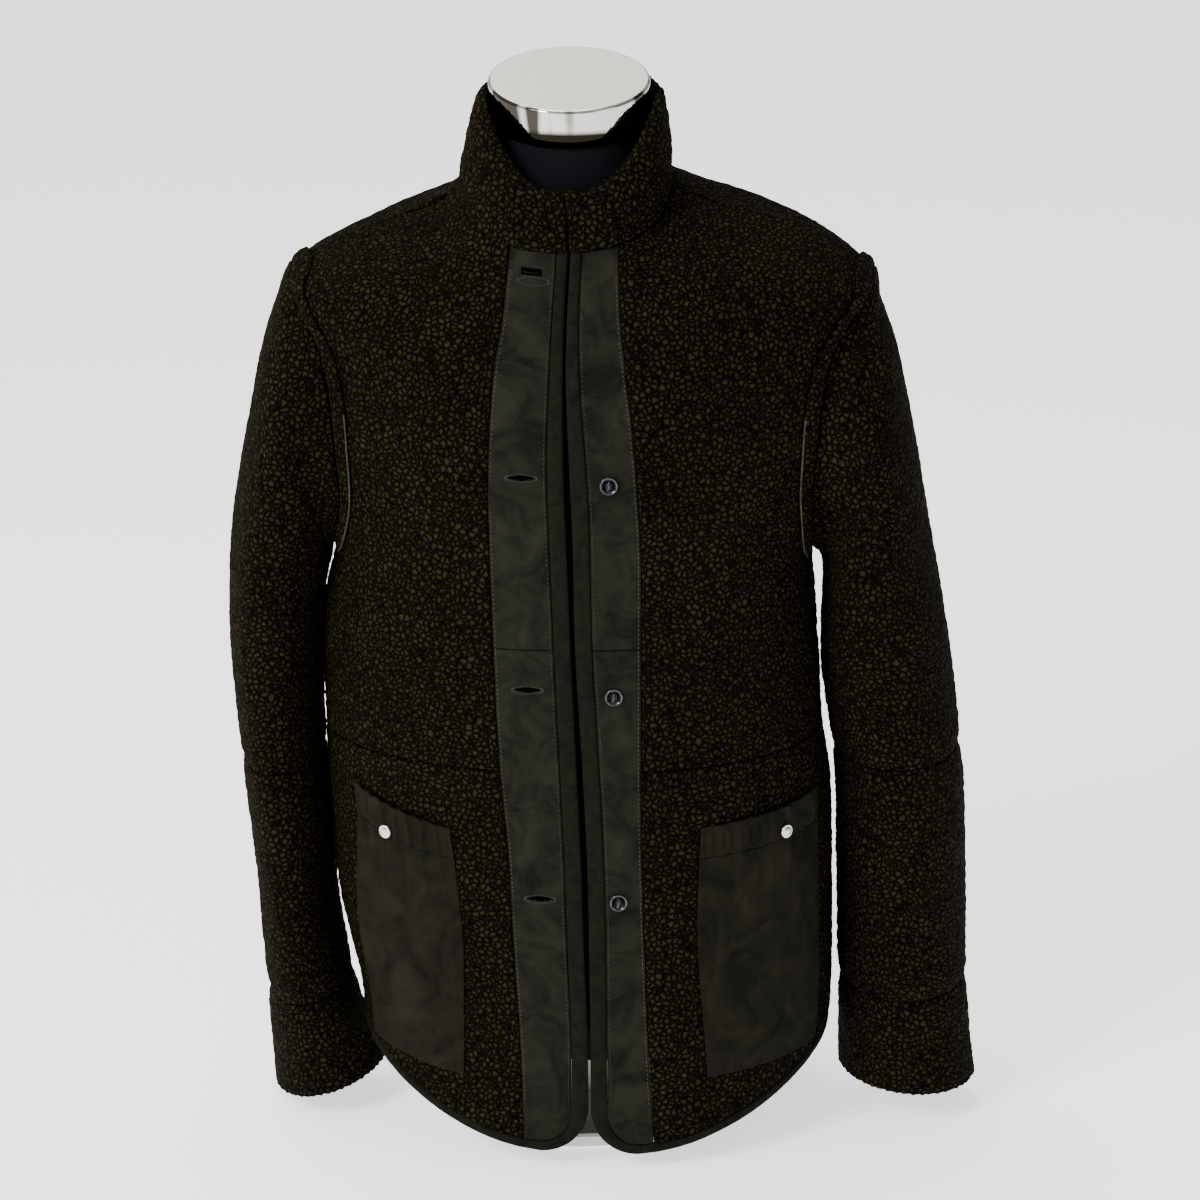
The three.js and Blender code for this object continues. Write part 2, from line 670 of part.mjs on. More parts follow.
// Patch pockets: a gathered bag and, above it, the elastic casing.
function pocketEnd(side, z) {
  const share = clamp((z - POCKET.from) / (POCKET.to - POCKET.from), 0, 1);
  return side * mix(...POCKET[side].outerTurn, share);
}
function pocketPlace(side, across, z) {
  const start = turnOf(FRONT, z, along(POCKET[side].inner, "z", "x", z));
  return { ring: z, turn: mix(start, pocketEnd(side, z), across) };
}

// How far the bag stands off the front: closed at its edges, gathered under the casing, with long creases.
function pocketLift(across, up) {
  const { gather, crease, closing } = POCKET;
  const inside = Math.sin(Math.PI * across);
  const gathered = 1 + Math.cos(2 * Math.PI * POCKET.gathers * across) * Math.exp(-(1 - up) / gather.fade);
  const creased = Math.exp(-(((across - crease.at) / crease.width) ** 2)) * Math.sin(Math.PI * up);
  const open = Math.min(1, closing * across, closing * (1 - across), closing * up);
  const puffed = POCKET.puff * inside * up ** POCKET.swell + crease.height * creased + gather.height * gathered;
  return SEAM + open * puffed;
}

for (const [side, name] of [
  [-1, "right"],
  [1, "left"],
]) {
  const { bottom, top } = POCKET[side];
  const acrosses = shares(POCKET.columns);
  const bag = (extra) =>
    POCKET.rows.map((up) =>
      acrosses.map((across) => {
        const low = mix(bottom[0], bottom[1], across);
        const high = mix(top[0], top[1], across) - POCKET.band - SEAM;
        const { ring, turn } = pocketPlace(side, across, mix(low, high, up));
        return skin(FRONT, ring, turn, pocketLift(across, up) + extra);
      }),
    );
  add(`pocket_${name}`, wall(bag(SUEDE), bag(0)), SUEDE_LOOK);
  const casing = (extra) =>
    [0, 0.5, 1].map((up) =>
      shares(POCKET.gathers * 3).map((across) => {
        const high = mix(top[0], top[1], across);
        const { ring, turn } = pocketPlace(side, across, mix(high - POCKET.band, high, up));
        const bulge = extra > 0 && up === 0.5 ? POCKET.casing.bulge : 0;
        return skin(FRONT, ring, turn, pocketLift(across, 1) + extra + bulge);
      }),
    );
  add(`pocket_band_${name}`, wall(casing(SUEDE + POCKET.casing.extra), casing(0)), SUEDE_LOOK);
}

// Turns a lathed piece to face out of the front at a point, lifted off it.
function faceOut(mesh, x, z, lift) {
  const ring = z + body(z, "frontTilt") * body(z, "front");
  const turn = turnOf(FRONT, ring, x);
  const seat = skin(FRONT, ring, turn, 0);
  const normal = skin(FRONT, ring, turn, 1).sub(seat);
  mesh.position.copy(seat.addScaledVector(normal, lift));
  mesh.quaternion.setFromUnitVectors(new THREE.Vector3(0, 1, 0), normal.normalize());
}

const profile = (points) => points.map(([r, h]) => new THREE.Vector2(r, h));

// Snap caps on the casings
for (const [side, name] of [
  [-1, "right"],
  [1, "left"],
]) {
  const { radius: r, height: h, edge, dome, probe } = SNAP;
  const cap = new THREE.LatheGeometry(
    profile([
      [0, 0],
      [r, 0],
      [r, h * edge],
      [r * dome.radius, h * dome.height],
      [0, h],
    ]),
    14,
  );
  const mesh = add(`snap_${name}`, cap, SNAP_LOOK);
  const spot = SNAPS[side];
  const start = turnOf(FRONT, spot.z, along(POCKET[side].inner, "z", "x", spot.z));
  const end = pocketEnd(side, spot.z);
  const across = (turnOf(FRONT, spot.z, spot.x) - start) / (end - start);
  const casing = Math.max(...[-probe, 0, probe].map((d) => pocketLift(across + d, 1)));
  faceOut(mesh, spot.x, spot.z, casing + SUEDE + SNAP.clear + SEAM);
}

// Buttons: turned discs with a rim and four holes
const HOLE_DEPTH = 20;
BUTTONS.forEach(({ x, z }, i) => {
  const { radius: r, thick: t, rim } = BUTTON;
  const disc = new THREE.LatheGeometry(
    profile([
      [0, 0],
      [r - rim, 0],
      [r, t * BUTTON.waist],
      [r - rim / 2, t],
      [r - 2 * rim, t * BUTTON.dish],
      [0, t * BUTTON.dish],
    ]),
    18,
  );
  const holes = [-1, 1].flatMap((a) =>
    [-1, 1].map((b) => {
      const hole = new THREE.CylinderGeometry(BUTTON.hole, BUTTON.hole, HOLE_DEPTH, 8);
      return hole.translate(a * BUTTON.spread, 0, b * BUTTON.spread);
    }),
  );
  const mesh = add(`button_${i + 1}`, cut(disc, holes), BUTTON_LOOK);
  faceOut(mesh, x, z, STRIP_LIFT + SEAM);
});

// A point of the body beside the armhole: around is 0 at the crown, 90 at the front, 270 at the back.
function besideArmhole(side, around, inset, lift) {
  const angle = radians(around);
  const half = Math.sin(angle) >= -1e-9 && around <= 180 ? FRONT : BACK;
  const w = Math.cos(angle);
  const reach = (half === FRONT ? ARMHOLE.front : ARMHOLE.back) + inset;
  const y = half * reach * Math.sqrt(Math.max(1 - Math.abs(w) ** ARMHOLE.squareness, 0));
  const z = ARMHOLE.middle + w * (ARMHOLE.half + inset * (w > 0 ? ARMHOLE.crown : 1));
  let ring = z;
  for (let i = 0; i < 8; i++) ring = z - ringShape(half, ring).tilt * y;
  const shape = ringShape(half, ring);
  const x = shape.width * (1 - Math.min(Math.abs(y) / shape.depth, 1) ** SQUARENESS) ** (1 / SQUARENESS);
  return skin(half, ring, turnOf(half, ring, shape.shift + side * x), lift);
}

// One ring of a sleeve's outside or, drawn in by the wall, of its inside.
function sleeveRing(side, down, drawIn, points = SLEEVE_POINTS) {
  const value = (column) => along(SLEEVE[side], "down", column, down);
  const outer = new THREE.Vector3(side * value("outX"), 0, value("outZ"));
  const inner = new THREE.Vector3(side * value("inX"), 0, value("inZ"));
  const middle = outer.clone().add(inner).multiplyScalar(0.5);
  const arm = outer.clone().sub(inner).multiplyScalar(0.5);
  const length = arm.length();
  const depths = { front: value("front"), back: value("back") };
  return Array.from({ length: points }, (_, j) => {
    const angle = (2 * Math.PI * j) / points;
    const c = Math.cos(angle);
    const s = Math.sin(angle);
    const degrees = (360 * j) / points;
    let bulge = 0;
    for (const ridge of SLEEVE_RIDGES[side]) {
      const share = (down - ridge.from) / (ridge.to - ridge.from);
      if (share <= 0 || share >= 1) continue;
      const place = ridge.turn + ridge.drift * share;
      const swell = Math.sin(Math.PI * share) ** RIDGE_ROUNDING;
      bulge += ridge.height * swell * Math.exp(-(((degrees - place) / ridge.width) ** 2));
    }
    const draw = bulge - drawIn;
    const point = middle.clone().addScaledVector(arm, (c * (length + draw)) / length);
    point.y = s > 0 ? -s * (depths.front + draw) : -s * (depths.back + draw);
    return point;
  });
}

// Sleeves: the crown laps over the armhole's edge; seams at the elbow and above the cuff draw the wall in.
function sleeveHead(side, layer) {
  return Array.from({ length: SLEEVE_POINTS }, (_, j) => {
    const around = (360 * j) / SLEEVE_POINTS;
    const fromCrown = Math.min(around, 360 - around);
    const k = blend(fromCrown, LAP.from, LAP.to);
    const inset = mix(LAP.crownInset, layer === "outer" ? LAP.outerInset : LAP.innerInset, k);
    const lift = LAP.lift + (layer === "outer" ? LAP.crownWall * (1 - k) : 0);
    return besideArmhole(side, around, inset, lift);
  });
}

function sleeveShoulder(side, head, first) {
  return head.map((point, j) => {
    const around = (360 * j) / SLEEVE_POINTS;
    const crown = Math.max(Math.cos(radians(around)), 0) ** 2;
    const out = new THREE.Vector3(side * SHOULDER.across, 0, SHOULDER.up);
    return point.clone().lerp(first[j], SHOULDER.toward).addScaledVector(out, SHOULDER.swell * crown);
  });
}

const pinch = (down) =>
  SEAM_PINCH *
  [ELBOW_SEAM, CUFF_SEAM].reduce((sum, seam) => sum + Math.exp(-(((down - seam) / PINCH_REACH) ** 2)), 0);

for (const [side, name] of [
  [-1, "right"],
  [1, "left"],
]) {
  const tube = (downs, layer) =>
    downs.map((down) => sleeveRing(side, down, pinch(down) + (layer === "inner" ? FLEECE : 0)));
  const upperDowns = SLEEVE_RINGS.upper.map((down) => Math.min(down, ELBOW_SEAM - SEAM / 2));
  const upper = ["outer", "inner"].map((layer) => {
    const head = sleeveHead(side, layer);
    const rings = tube(upperDowns, layer);
    return [head, sleeveShoulder(side, head, rings[0]), ...rings];
  });
  add(`sleeve_upper_${name}`, wall(upper[0], upper[1], true), FLEECE_LOOK);
  const lowerDowns = SLEEVE_RINGS.lower.map((down) =>
    clamp(down, ELBOW_SEAM + SEAM / 2, CUFF_SEAM - SEAM / 2),
  );
  add(
    `sleeve_lower_${name}`,
    wall(tube(lowerDowns, "outer"), tube(lowerDowns, "inner"), true),
    FLEECE_LOOK,
  );
  const cuffDowns = SLEEVE_RINGS.cuff.map((down) => Math.max(down, CUFF_SEAM + SEAM / 2));
  add(`cuff_${name}`, wall(tube(cuffDowns, "outer"), tube(cuffDowns, "inner"), true), FLEECE_LOOK);

  // The strip that is stitched down beside the armhole seam, open under the arm
  const { from, to, lift, wall: thick, reach, steps } = ARMHOLE_STRIP;
  const strip = (extra) =>
    shares(steps).map((share) => {
      const around = (mix(-reach, reach, share) + 360) % 360;
      return [from, to].map((inset) => besideArmhole(side, around, inset, lift + extra));
    });
  add(`armhole_strip_${name}`, wall(strip(thick), strip(0)), SUEDE_LOOK);
}

// Collar: one standing piece, open at the centre front, with its corners cut on a slant
function collarPoint(turnShare, up, drawIn) {
  const { over, seat, top, topHeight, gap, frontBaseX, frontTopX } = COLLAR;
  const neck = ringShape(FRONT, NECK_RING);
  const nape = ringShape(BACK, NECK_RING);
  const width = mix(neck.width + over, top.half, up) - drawIn;
  const frontDepth = mix(neck.depth + over, top.front, up) - drawIn;
  const backDepth = mix(nape.depth + over, top.back, up) - drawIn;
  const middle = mix(neck.shift, top.shift, up);
  const edge = mix(frontBaseX, frontTopX, up);
  const start = (side) =>
    Math.asin(signedPower(((edge + (side * gap) / 2 - middle) * side) / width, SQUARENESS / 2));
  const angle = mix(start(-1), 2 * Math.PI - start(1), turnShare);
  const s = signedPower(Math.sin(angle), 2 / SQUARENESS);
  const c = signedPower(Math.cos(angle), 2 / SQUARENESS);
  const y = -c * (c > 0 ? frontDepth : backDepth);
  const side = Math.abs(Math.sin(angle));
  const low = NECK_RING + (c > 0 ? neck.tilt : nape.tilt) * (-c * (c > 0 ? neck.depth : nape.depth)) + seat;
  const high = mix(c > 0 ? topHeight.front : topHeight.back, topHeight.side, side ** COLLAR.rise);
  return new THREE.Vector3(middle - s * width, y, mix(low, high, up));
}
const collarLayer = (drawIn) =>
  shares(COLLAR.rows).map((up) =>
    shares(COLLAR.points).map((share) => {
      const { from, depth } = COLLAR.rounding;
      const rounded = (depth * Math.max(up - from, 0)) / (1 - from);
      const bulge = COLLAR.bulge * Math.sin(Math.PI * up);
      return collarPoint(share, up, drawIn - bulge + (drawIn > 0 ? -rounded : rounded));
    }),
  );
add("collar", wall(collarLayer(0), collarLayer(COLLAR.wall)), FLEECE_LOOK);

// Dress form: a smooth torso with rounded arm ends and a rounded lower end, and a neck that leans forward
const capAxis = new THREE.Vector3(0, -Math.sin(radians(CAP.tilt)), Math.cos(radians(CAP.tilt)));
const capBase = new THREE.Vector3(CAP.x, CAP.y, CAP.top).addScaledVector(capAxis, -CAP.height);
function torsoRing(ring) {
  const rows = TORSO.points;
  const shrink =
    ring >= TORSO.round
      ? 1
      : Math.sqrt(1 - ((TORSO.round - ring) / (TORSO.round - TORSO.bottom + TORSO.flatten)) ** 2);
  return Array.from({ length: rows }, (_, j) => {
    const angle = (2 * Math.PI * (j + 0.5)) / rows;
    const half = Math.cos(angle) > 0 ? FRONT : BACK;
    const turn = Math.asin(Math.sin(angle)) / (Math.PI / 2);
    const onTop = blend(ring, SHOULDER_TOP.from, SHOULDER_TOP.to);
    const towardSeam = blend(Math.abs(turn), SHOULDER_TOP.turnFrom, SHOULDER_TOP.turnTo);
    const drawn = TORSO.atNeck * blend(ring, NECK_RISE.from, NECK_RISE.to);
    const clearance = mix(TORSO.ease, TORSO.rest, onTop * towardSeam) + drawn;
    const point = skin(half, ring, turn, -FLEECE - clearance, true);
    const middle = body(ring, "shift");
    point.x = middle + (point.x - middle) * shrink;
    point.y *= shrink;
    return point;
  });
}
function neckRing(share) {
  const low = torsoRing(TORSO_RINGS.at(-1));
  return low.map((point, j) => {
    const angle = (2 * Math.PI * (j + 0.5)) / TORSO.points;
    const rim = capBase
      .clone()
      .addScaledVector(capAxis, -SEAM)
      .add(
        new THREE.Vector3(Math.sin(angle), -Math.cos(angle) * capAxis.z, Math.cos(angle) * capAxis.y)
          .multiplyScalar(TORSO.neck),
      );
    const eased = share ** TORSO.neckEase;
    return new THREE.Vector3(
      mix(point.x, rim.x, eased),
      mix(point.y, rim.y, eased),
      mix(point.z, rim.z, share),
    );
  });
}
const TORSO_RINGS = [
  48, 52, 62, 80, 110, 150, 250, 360, 460, 486, 497, 520, 560, 610, 655, 684, 697, 707, 726, 745, 757, 765,
];
add(
  "form_torso",
  stack([...TORSO_RINGS.map(torsoRing), ...NECK_SHARES.map(neckRing)]),
  JERSEY_LOOK,
);

// Neck cap: chromed band with an eased upper edge
const capProfile = profile([
  [0, 0],
  [CAP.radius, 0],
  [CAP.radius, CAP.height - CAP.edge],
  [CAP.radius - CAP.edge * CAP.easing, CAP.height - CAP.edge * CAP.easing],
  [CAP.radius - CAP.edge, CAP.height],
  [0, CAP.height],
]);
const cap = add("neck_cap", new THREE.LatheGeometry(capProfile, 36), CHROME_LOOK);
cap.position.copy(capBase);
cap.quaternion.setFromUnitVectors(new THREE.Vector3(0, 1, 0), capAxis);

// Foot: a flat disc and a short post under the torso
const postTop = TORSO.bottom - 2 * SEAM;
const footProfile = profile([
  [0, 0],
  [FOOT.radius - FOOT.edge, 0],
  [FOOT.radius, FOOT.edge],
  [FOOT.radius, FOOT.thick - FOOT.edge],
  [FOOT.radius - FOOT.edge, FOOT.thick],
  [FOOT.post, FOOT.thick],
  [FOOT.post, postTop],
  [0, postTop],
]);
const foot = add("form_foot", new THREE.LatheGeometry(footProfile, 32), ENAMEL_LOOK);
foot.rotation.x = Math.PI / 2;

export default jacket;
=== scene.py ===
"""Sherpa lined jacket on a limbless dress form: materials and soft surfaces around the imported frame."""

import bpy
import bmesh
import math
import random
import numpy as np
from mathutils import Matrix, Vector, noise


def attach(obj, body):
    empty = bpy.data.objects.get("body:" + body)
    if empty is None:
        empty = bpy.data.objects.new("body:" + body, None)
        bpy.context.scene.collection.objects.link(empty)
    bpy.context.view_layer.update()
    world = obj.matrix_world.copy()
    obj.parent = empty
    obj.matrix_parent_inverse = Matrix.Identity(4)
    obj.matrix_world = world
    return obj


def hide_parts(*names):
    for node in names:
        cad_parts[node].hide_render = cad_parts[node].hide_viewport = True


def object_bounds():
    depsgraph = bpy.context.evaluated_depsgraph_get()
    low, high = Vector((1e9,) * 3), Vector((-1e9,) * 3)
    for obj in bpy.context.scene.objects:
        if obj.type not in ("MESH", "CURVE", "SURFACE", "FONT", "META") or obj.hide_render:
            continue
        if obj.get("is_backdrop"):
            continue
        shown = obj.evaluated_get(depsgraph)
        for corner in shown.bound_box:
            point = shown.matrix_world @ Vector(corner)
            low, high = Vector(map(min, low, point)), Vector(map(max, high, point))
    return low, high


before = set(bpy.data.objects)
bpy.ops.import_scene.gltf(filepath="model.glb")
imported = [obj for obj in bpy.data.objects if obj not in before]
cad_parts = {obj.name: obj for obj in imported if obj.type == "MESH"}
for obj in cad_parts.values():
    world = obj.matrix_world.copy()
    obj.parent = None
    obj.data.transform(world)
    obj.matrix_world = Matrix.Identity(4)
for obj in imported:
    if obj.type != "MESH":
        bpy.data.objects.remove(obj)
cad_box = [list(corner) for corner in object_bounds()]

# Camera, floor and light
# The photograph's view: from 3 m away and 1.43 m up, looking down 18.5 degrees and 2 degrees to the right.
# A pale floor runs past the frame, and large soft lamps leave no hard shadow.
MM = 0.001
CAMERA_DISTANCE, CAMERA_HEIGHT = 3.0, 1.43
CAMERA_TURN, CAMERA_DIP = math.radians(2.0), math.radians(18.47)
AIM_X = 0.0166
FOCAL_PIXELS, FRAME_PIXELS, SENSOR = 3978.0, 1200.0, 36.0
camera_data = bpy.data.cameras.new("camera")
camera_data.sensor_width = SENSOR
camera_data.lens = SENSOR * FOCAL_PIXELS / FRAME_PIXELS
camera = bpy.data.objects.new("camera", camera_data)
camera.location = (
    AIM_X + CAMERA_DISTANCE * math.sin(CAMERA_TURN),
    -CAMERA_DISTANCE * math.cos(CAMERA_TURN),
    CAMERA_HEIGHT,
)
camera.rotation_euler = (math.pi / 2 - CAMERA_DIP, 0, CAMERA_TURN)
bpy.context.collection.objects.link(camera)
bpy.context.scene.camera = camera


def linear(code):
    """An sRGB hex colour as linear RGBA."""
    parts = [int(code[i : i + 2], 16) / 255 for i in (1, 3, 5)]
    return [p / 12.92 if p <= 0.04045 else ((p + 0.055) / 1.055) ** 2.4 for p in parts] + [1.0]


def add_node(tree, kind, links=(), **settings):
    """Adds a node. A setting named like a socket sets it, and links are (socket, output it takes)."""
    node = tree.nodes.new(kind)
    for key, value in settings.items():
        if hasattr(node, key):
            setattr(node, key, value)
        else:
            node.inputs[key.replace("_", " ")].default_value = value
    for socket, output in links:
        tree.links.new(node.inputs[socket], output)
    return node


def new_material(name, **shader):
    """A material with a Principled shader whose sockets are set from the words given."""
    made = bpy.data.materials.new(name)
    made.use_nodes = True
    principled = made.node_tree.nodes["Principled BSDF"]
    for key, value in shader.items():
        principled.inputs[key.replace("_", " ")].default_value = value
    return made, made.node_tree, principled


def lamp(name, place, aim, size, power):
    data = bpy.data.lights.new(name, "AREA")
    data.shape = "DISK"
    data.size = size
    data.energy = power
    made = bpy.data.objects.new(name, data)
    made.location = place
    made.rotation_euler = (Vector(aim) - Vector(place)).to_track_quat("-Z", "Y").to_euler()
    bpy.context.collection.objects.link(made)


MIDDLE = (0.0, 0.0, 0.45)
lamp("key", (-1.9, -2.2, 2.4), MIDDLE, 1.4, 125)
lamp("fill", (2.4, -2.0, 1.6), MIDDLE, 1.8, 12)
lamp("top", (-0.4, 0.6, 3.0), MIDDLE, 1.6, 45)
world = bpy.data.worlds.new("studio")
world.use_nodes = True
world.node_tree.nodes["Background"].inputs["Color"].default_value = (1, 1, 1, 1)
sky = world.node_tree
look = add_node(sky, "ShaderNodeTexCoord")
sideways = add_node(sky, "ShaderNodeSeparateXYZ", [("Vector", look.outputs["Generated"])])
falloff = add_node(
    sky, "ShaderNodeMapRange", [("Value", sideways.outputs["X"])], From_Min=-0.8, From_Max=0.8,
    To_Min=1.1, To_Max=0.3,
)
sky.links.new(sky.nodes["Background"].inputs["Strength"], falloff.outputs[0])
bpy.context.scene.world = world

FLOOR_SIDE = 24.0
bm = bmesh.new()
bmesh.ops.create_grid(bm, x_segments=1, y_segments=1, size=FLOOR_SIDE / 2)
floor_mesh = bpy.data.meshes.new("floor")
bm.to_mesh(floor_mesh)
bm.free()
floor_material, _, _ = new_material(
    "lit_paper_backdrop", Base_Color=linear("#fbfbfa"), Roughness=0.9,
    Emission_Color=linear("#fbfbfa"), Emission_Strength=1.3,
)
floor_mesh.materials.append(floor_material)
floor = bpy.data.objects.new("floor", floor_mesh)
bpy.context.collection.objects.link(floor)
floor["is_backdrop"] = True

# Fronts
# Four panels of shearling with the curly pile outside, about 6 mm thick, pieced at the waist.
# Each is one closed shell: a fine outer face with its curls, a rounded edge and a plain inner face.
SEAM = 0.3
FLEECE = 6.0
SQUARENESS = 2.25
NECK_RING, WAIST_SEAM, PLACKET_SEAM = 767.0, 335.0, 434.0
BODY = {
    "ring": (0, 91, 200, 283, 335, 428, 486, 530, 570, 610, 650, 680, 697, 703, 733, 752, 767),
    "half": (
        187, 191, 200.5, 201.5, 198.8, 195.3, 187, 185, 188, 192, 200, 216, 224.5, 219.5, 166, 106.5, 79,
    ),
    "front": (150, 149, 147, 145, 144, 142.5, 142, 141.5, 140.5, 137, 131, 124, 118.5, 117, 106, 98, 92),
    "back": (124, 122, 117, 112, 110, 110, 113, 117, 119, 119, 117, 113, 110, 108, 98, 88, 76),
    "front_tilt": (0, 0, 0, 0, 0, 0, 0, 0, 0, 0.01, 0.06, 0.11, 0.14, 0.155, 0.26, 0.33, 0.36),
    "back_tilt": (0, 0, 0, 0, 0, 0, 0, 0, 0, 0.01, 0.03, 0.06, 0.07, 0.08, 0.13, 0.17, 0.2),
    "shift": (13, 14.2, 4.5, 0.5, -4.3, -6.8, -3, 0, 0, 0, 0, 0, 2.5, 3, 8, 0, -10),
}
ARMHOLE_MIDDLE, ARMHOLE_HALF, ARMHOLE_SQUARENESS, ARMHOLE_CROWN = 591.0, 106.0, 2.4, 0.62
ARMHOLE_REACH = {-1: 66.0, 1: 72.0}
EDGE = {
    -1: {
        "z": (16, 110, 184, 273, 388, 496, 594, 652, 697, 736),
        "x": (12.6, 12.1, 9.4, 6.4, 1.2, -3.2, -6.5, -6.8, -6, -4),
    },
    1: {
        "z": (22, 110, 233, 345, 434, 521, 594, 652, 684, 734),
        "x": (14.8, 14.1, 12.4, 7.6, 2.4, 0.6, -2.6, -4.7, -4.4, -2.4),
    },
}
PLACKET = {
    -1: {
        "z": (24, 91, 181, 270, 340, 432, 556, 592, 650, 690, 734),
        "x": (-39, -41, -46, -50.5, -56.5, -60.5, -63.8, -63, -59, -52.5, -49),
    },
    1: {
        "z": (32, 68, 157, 244, 331, 495, 557, 605, 645, 696, 730),
        "x": (64.5, 62, 58, 55, 53.4, 53, 50, 46, 41, 35.5, 34),
    },
}
HEM_LOW, HEM_SIDE = {-1: 16.0, 1: 14.0}, {-1: 70.0, 1: 64.0}
HEM_FLAT, HEM_BEND, HEM_REACH = {-1: 35.0, 1: 40.0}, {-1: 1.75, 1: 1.8}, 178.0
CORNER, BINDING_FRONT, BINDING_TOP, BINDING_HEM = 38.0, 13.0, 8.5, 8.0
FRONT, BACK = -1, 1
SIDES = ((-1, "right"), (1, "left"))


def along(table, key, column, at):
    """A table's column at the places given, on a smooth curve that never overshoots its rows."""
    keys, values = np.array(table[key], float), np.array(table[column], float)
    at = np.asarray(at, float)
    step = np.diff(keys)
    secant = np.diff(values) / step
    before, after = np.append(secant[0], secant), np.append(secant, secant[-1])
    total = np.where(before + after == 0, 1.0, before + after)
    slope = np.where(before * after > 0, 2 * before * after / total, 0.0)
    i = np.clip(np.searchsorted(keys, at) - 1, 0, len(keys) - 2)
    t = np.clip((at - keys[i]) / step[i], 0, 1)
    rise = values[i + 1] - values[i]
    t2, t3 = t * t, t * t * t
    curve = (t3 - 2 * t2 + t) * slope[i] + (t3 - t2) * slope[i + 1]
    return values[i] + rise * (3 * t2 - 2 * t3) + curve * step[i]


def power(value, exponent):
    return np.sign(value) * np.abs(value) ** exponent


def smooth(value, low, high):
    t = np.clip((np.asarray(value, float) - low) / (high - low), 0, 1)
    return t * t * (3 - 2 * t)


def mix(a, b, t):
    return a + (b - a) * t


def ring_shape(half, ring):
    """Depth, full width, last angle, tilt and shift of one half of each body ring."""
    side = "front" if half == FRONT else "back"
    depth = along(BODY, "ring", side, ring)
    w = np.clip(np.abs(ring - ARMHOLE_MIDDLE) / ARMHOLE_HALF, 0, 1)
    reach = ARMHOLE_REACH[half] * np.sqrt(1 - w**ARMHOLE_SQUARENESS)
    share = 1 - (reach / depth) ** SQUARENESS
    width = along(BODY, "ring", "half", ring) / share ** (1 / SQUARENESS)
    last = np.arcsin(np.sqrt(share))
    return depth, width, last, along(BODY, "ring", side + "_tilt", ring), along(BODY, "ring", "shift", ring)


def ring_point(half, ring, turn, closed=False):
    depth, width, last, tilt, shift = ring_shape(half, ring)
    angle = turn * (math.pi / 2 if closed else last)
    x = width * power(np.sin(angle), 2 / SQUARENESS)
    y = half * depth * np.maximum(np.cos(angle), 0) ** (2 / SQUARENESS)
    return np.stack([shift + x, y + half * SEAM / 2, ring + tilt * y], -1)


def skin_normal(half, ring, turn, closed=False):
    small = 0.004
    low_turn, high_turn = np.maximum(turn - small, -1), np.minimum(turn + small, 1)
    high_ring = np.minimum(ring + 1.0, NECK_RING)
    across = ring_point(half, ring, high_turn, closed) - ring_point(half, ring, low_turn, closed)
    up = ring_point(half, high_ring, turn, closed) - ring_point(half, high_ring - 2.0, turn, closed)
    normal = np.cross(across, up) * -half
    outside = np.abs(ring - ARMHOLE_MIDDLE) >= ARMHOLE_HALF
    at_seam = (np.abs(turn) > 1 - small) & (outside | closed)
    normal[..., 1] = np.where(at_seam, 0, normal[..., 1])
    return normal / np.linalg.norm(normal, axis=-1, keepdims=True)


def skin(half, ring, turn, lift, closed=False):
    """Points of the jacket's outside, in millimetres, moved out along its normals."""
    ring, turn = np.broadcast_arrays(np.asarray(ring, float), np.asarray(turn, float))
    lift = np.broadcast_to(np.asarray(lift, float), ring.shape)
    return ring_point(half, ring, turn, closed) + skin_normal(half, ring, turn, closed) * lift[..., None]


def turn_of(half, ring, x):
    depth, width, last, tilt, shift = ring_shape(half, ring)
    share = np.clip(np.abs(x - shift) / width, 0, 1)
    return np.clip(np.sign(x - shift) * np.arcsin(share ** (SQUARENESS / 2)) / last, -1, 1)


def front_height(ring):
    return ring - along(BODY, "ring", "front_tilt", ring) * along(BODY, "ring", "front", ring)


def edge_x(side, z):
    return along(EDGE[side], "z", "x", z)


def placket_x(side, z):
    return along(PLACKET[side], "z", "x", z)


def hem_height(side, x):
    out = np.abs(x - 12.0)
    share = np.clip((out - HEM_FLAT[side]) / (HEM_REACH - HEM_FLAT[side]), 0, 1.1)
    return HEM_LOW[side] + (HEM_SIDE[side] - HEM_LOW[side]) * share ** HEM_BEND[side]


def front_turn(side, ring, share):
    start = turn_of(FRONT, ring, placket_x(side, front_height(ring)) + side * SEAM / 2)
    return mix(start, side, share)


def stations(length, step, rounding):
    """Shares of the way along an edge-to-edge line, closer together where its ends round over."""
    ends = np.array([0, 0.12, 0.35, 0.7, 1.0]) * rounding
    inner = np.linspace(rounding, length - rounding, max(int(length / step), 4) + 1)
    return np.concatenate([ends[:-1], inner, (length - ends[:-1])[::-1]]) / length


def close_side(bm, outer, inner):
    """Joins two columns of vertices that run the same way, one with more vertices than the other."""
    i = j = 0
    while i < len(outer) - 1 or j < len(inner) - 1:
        step_outer = j == len(inner) - 1 or (
            i < len(outer) - 1
            and (outer[i + 1].co - inner[j].co).length < (inner[j + 1].co - outer[i].co).length
        )
        ahead = outer[i + 1] if step_outer else inner[j + 1]
        bm.faces.new((outer[i], inner[j], ahead))
        i, j = (i + 1, j) if step_outer else (i, j + 1)


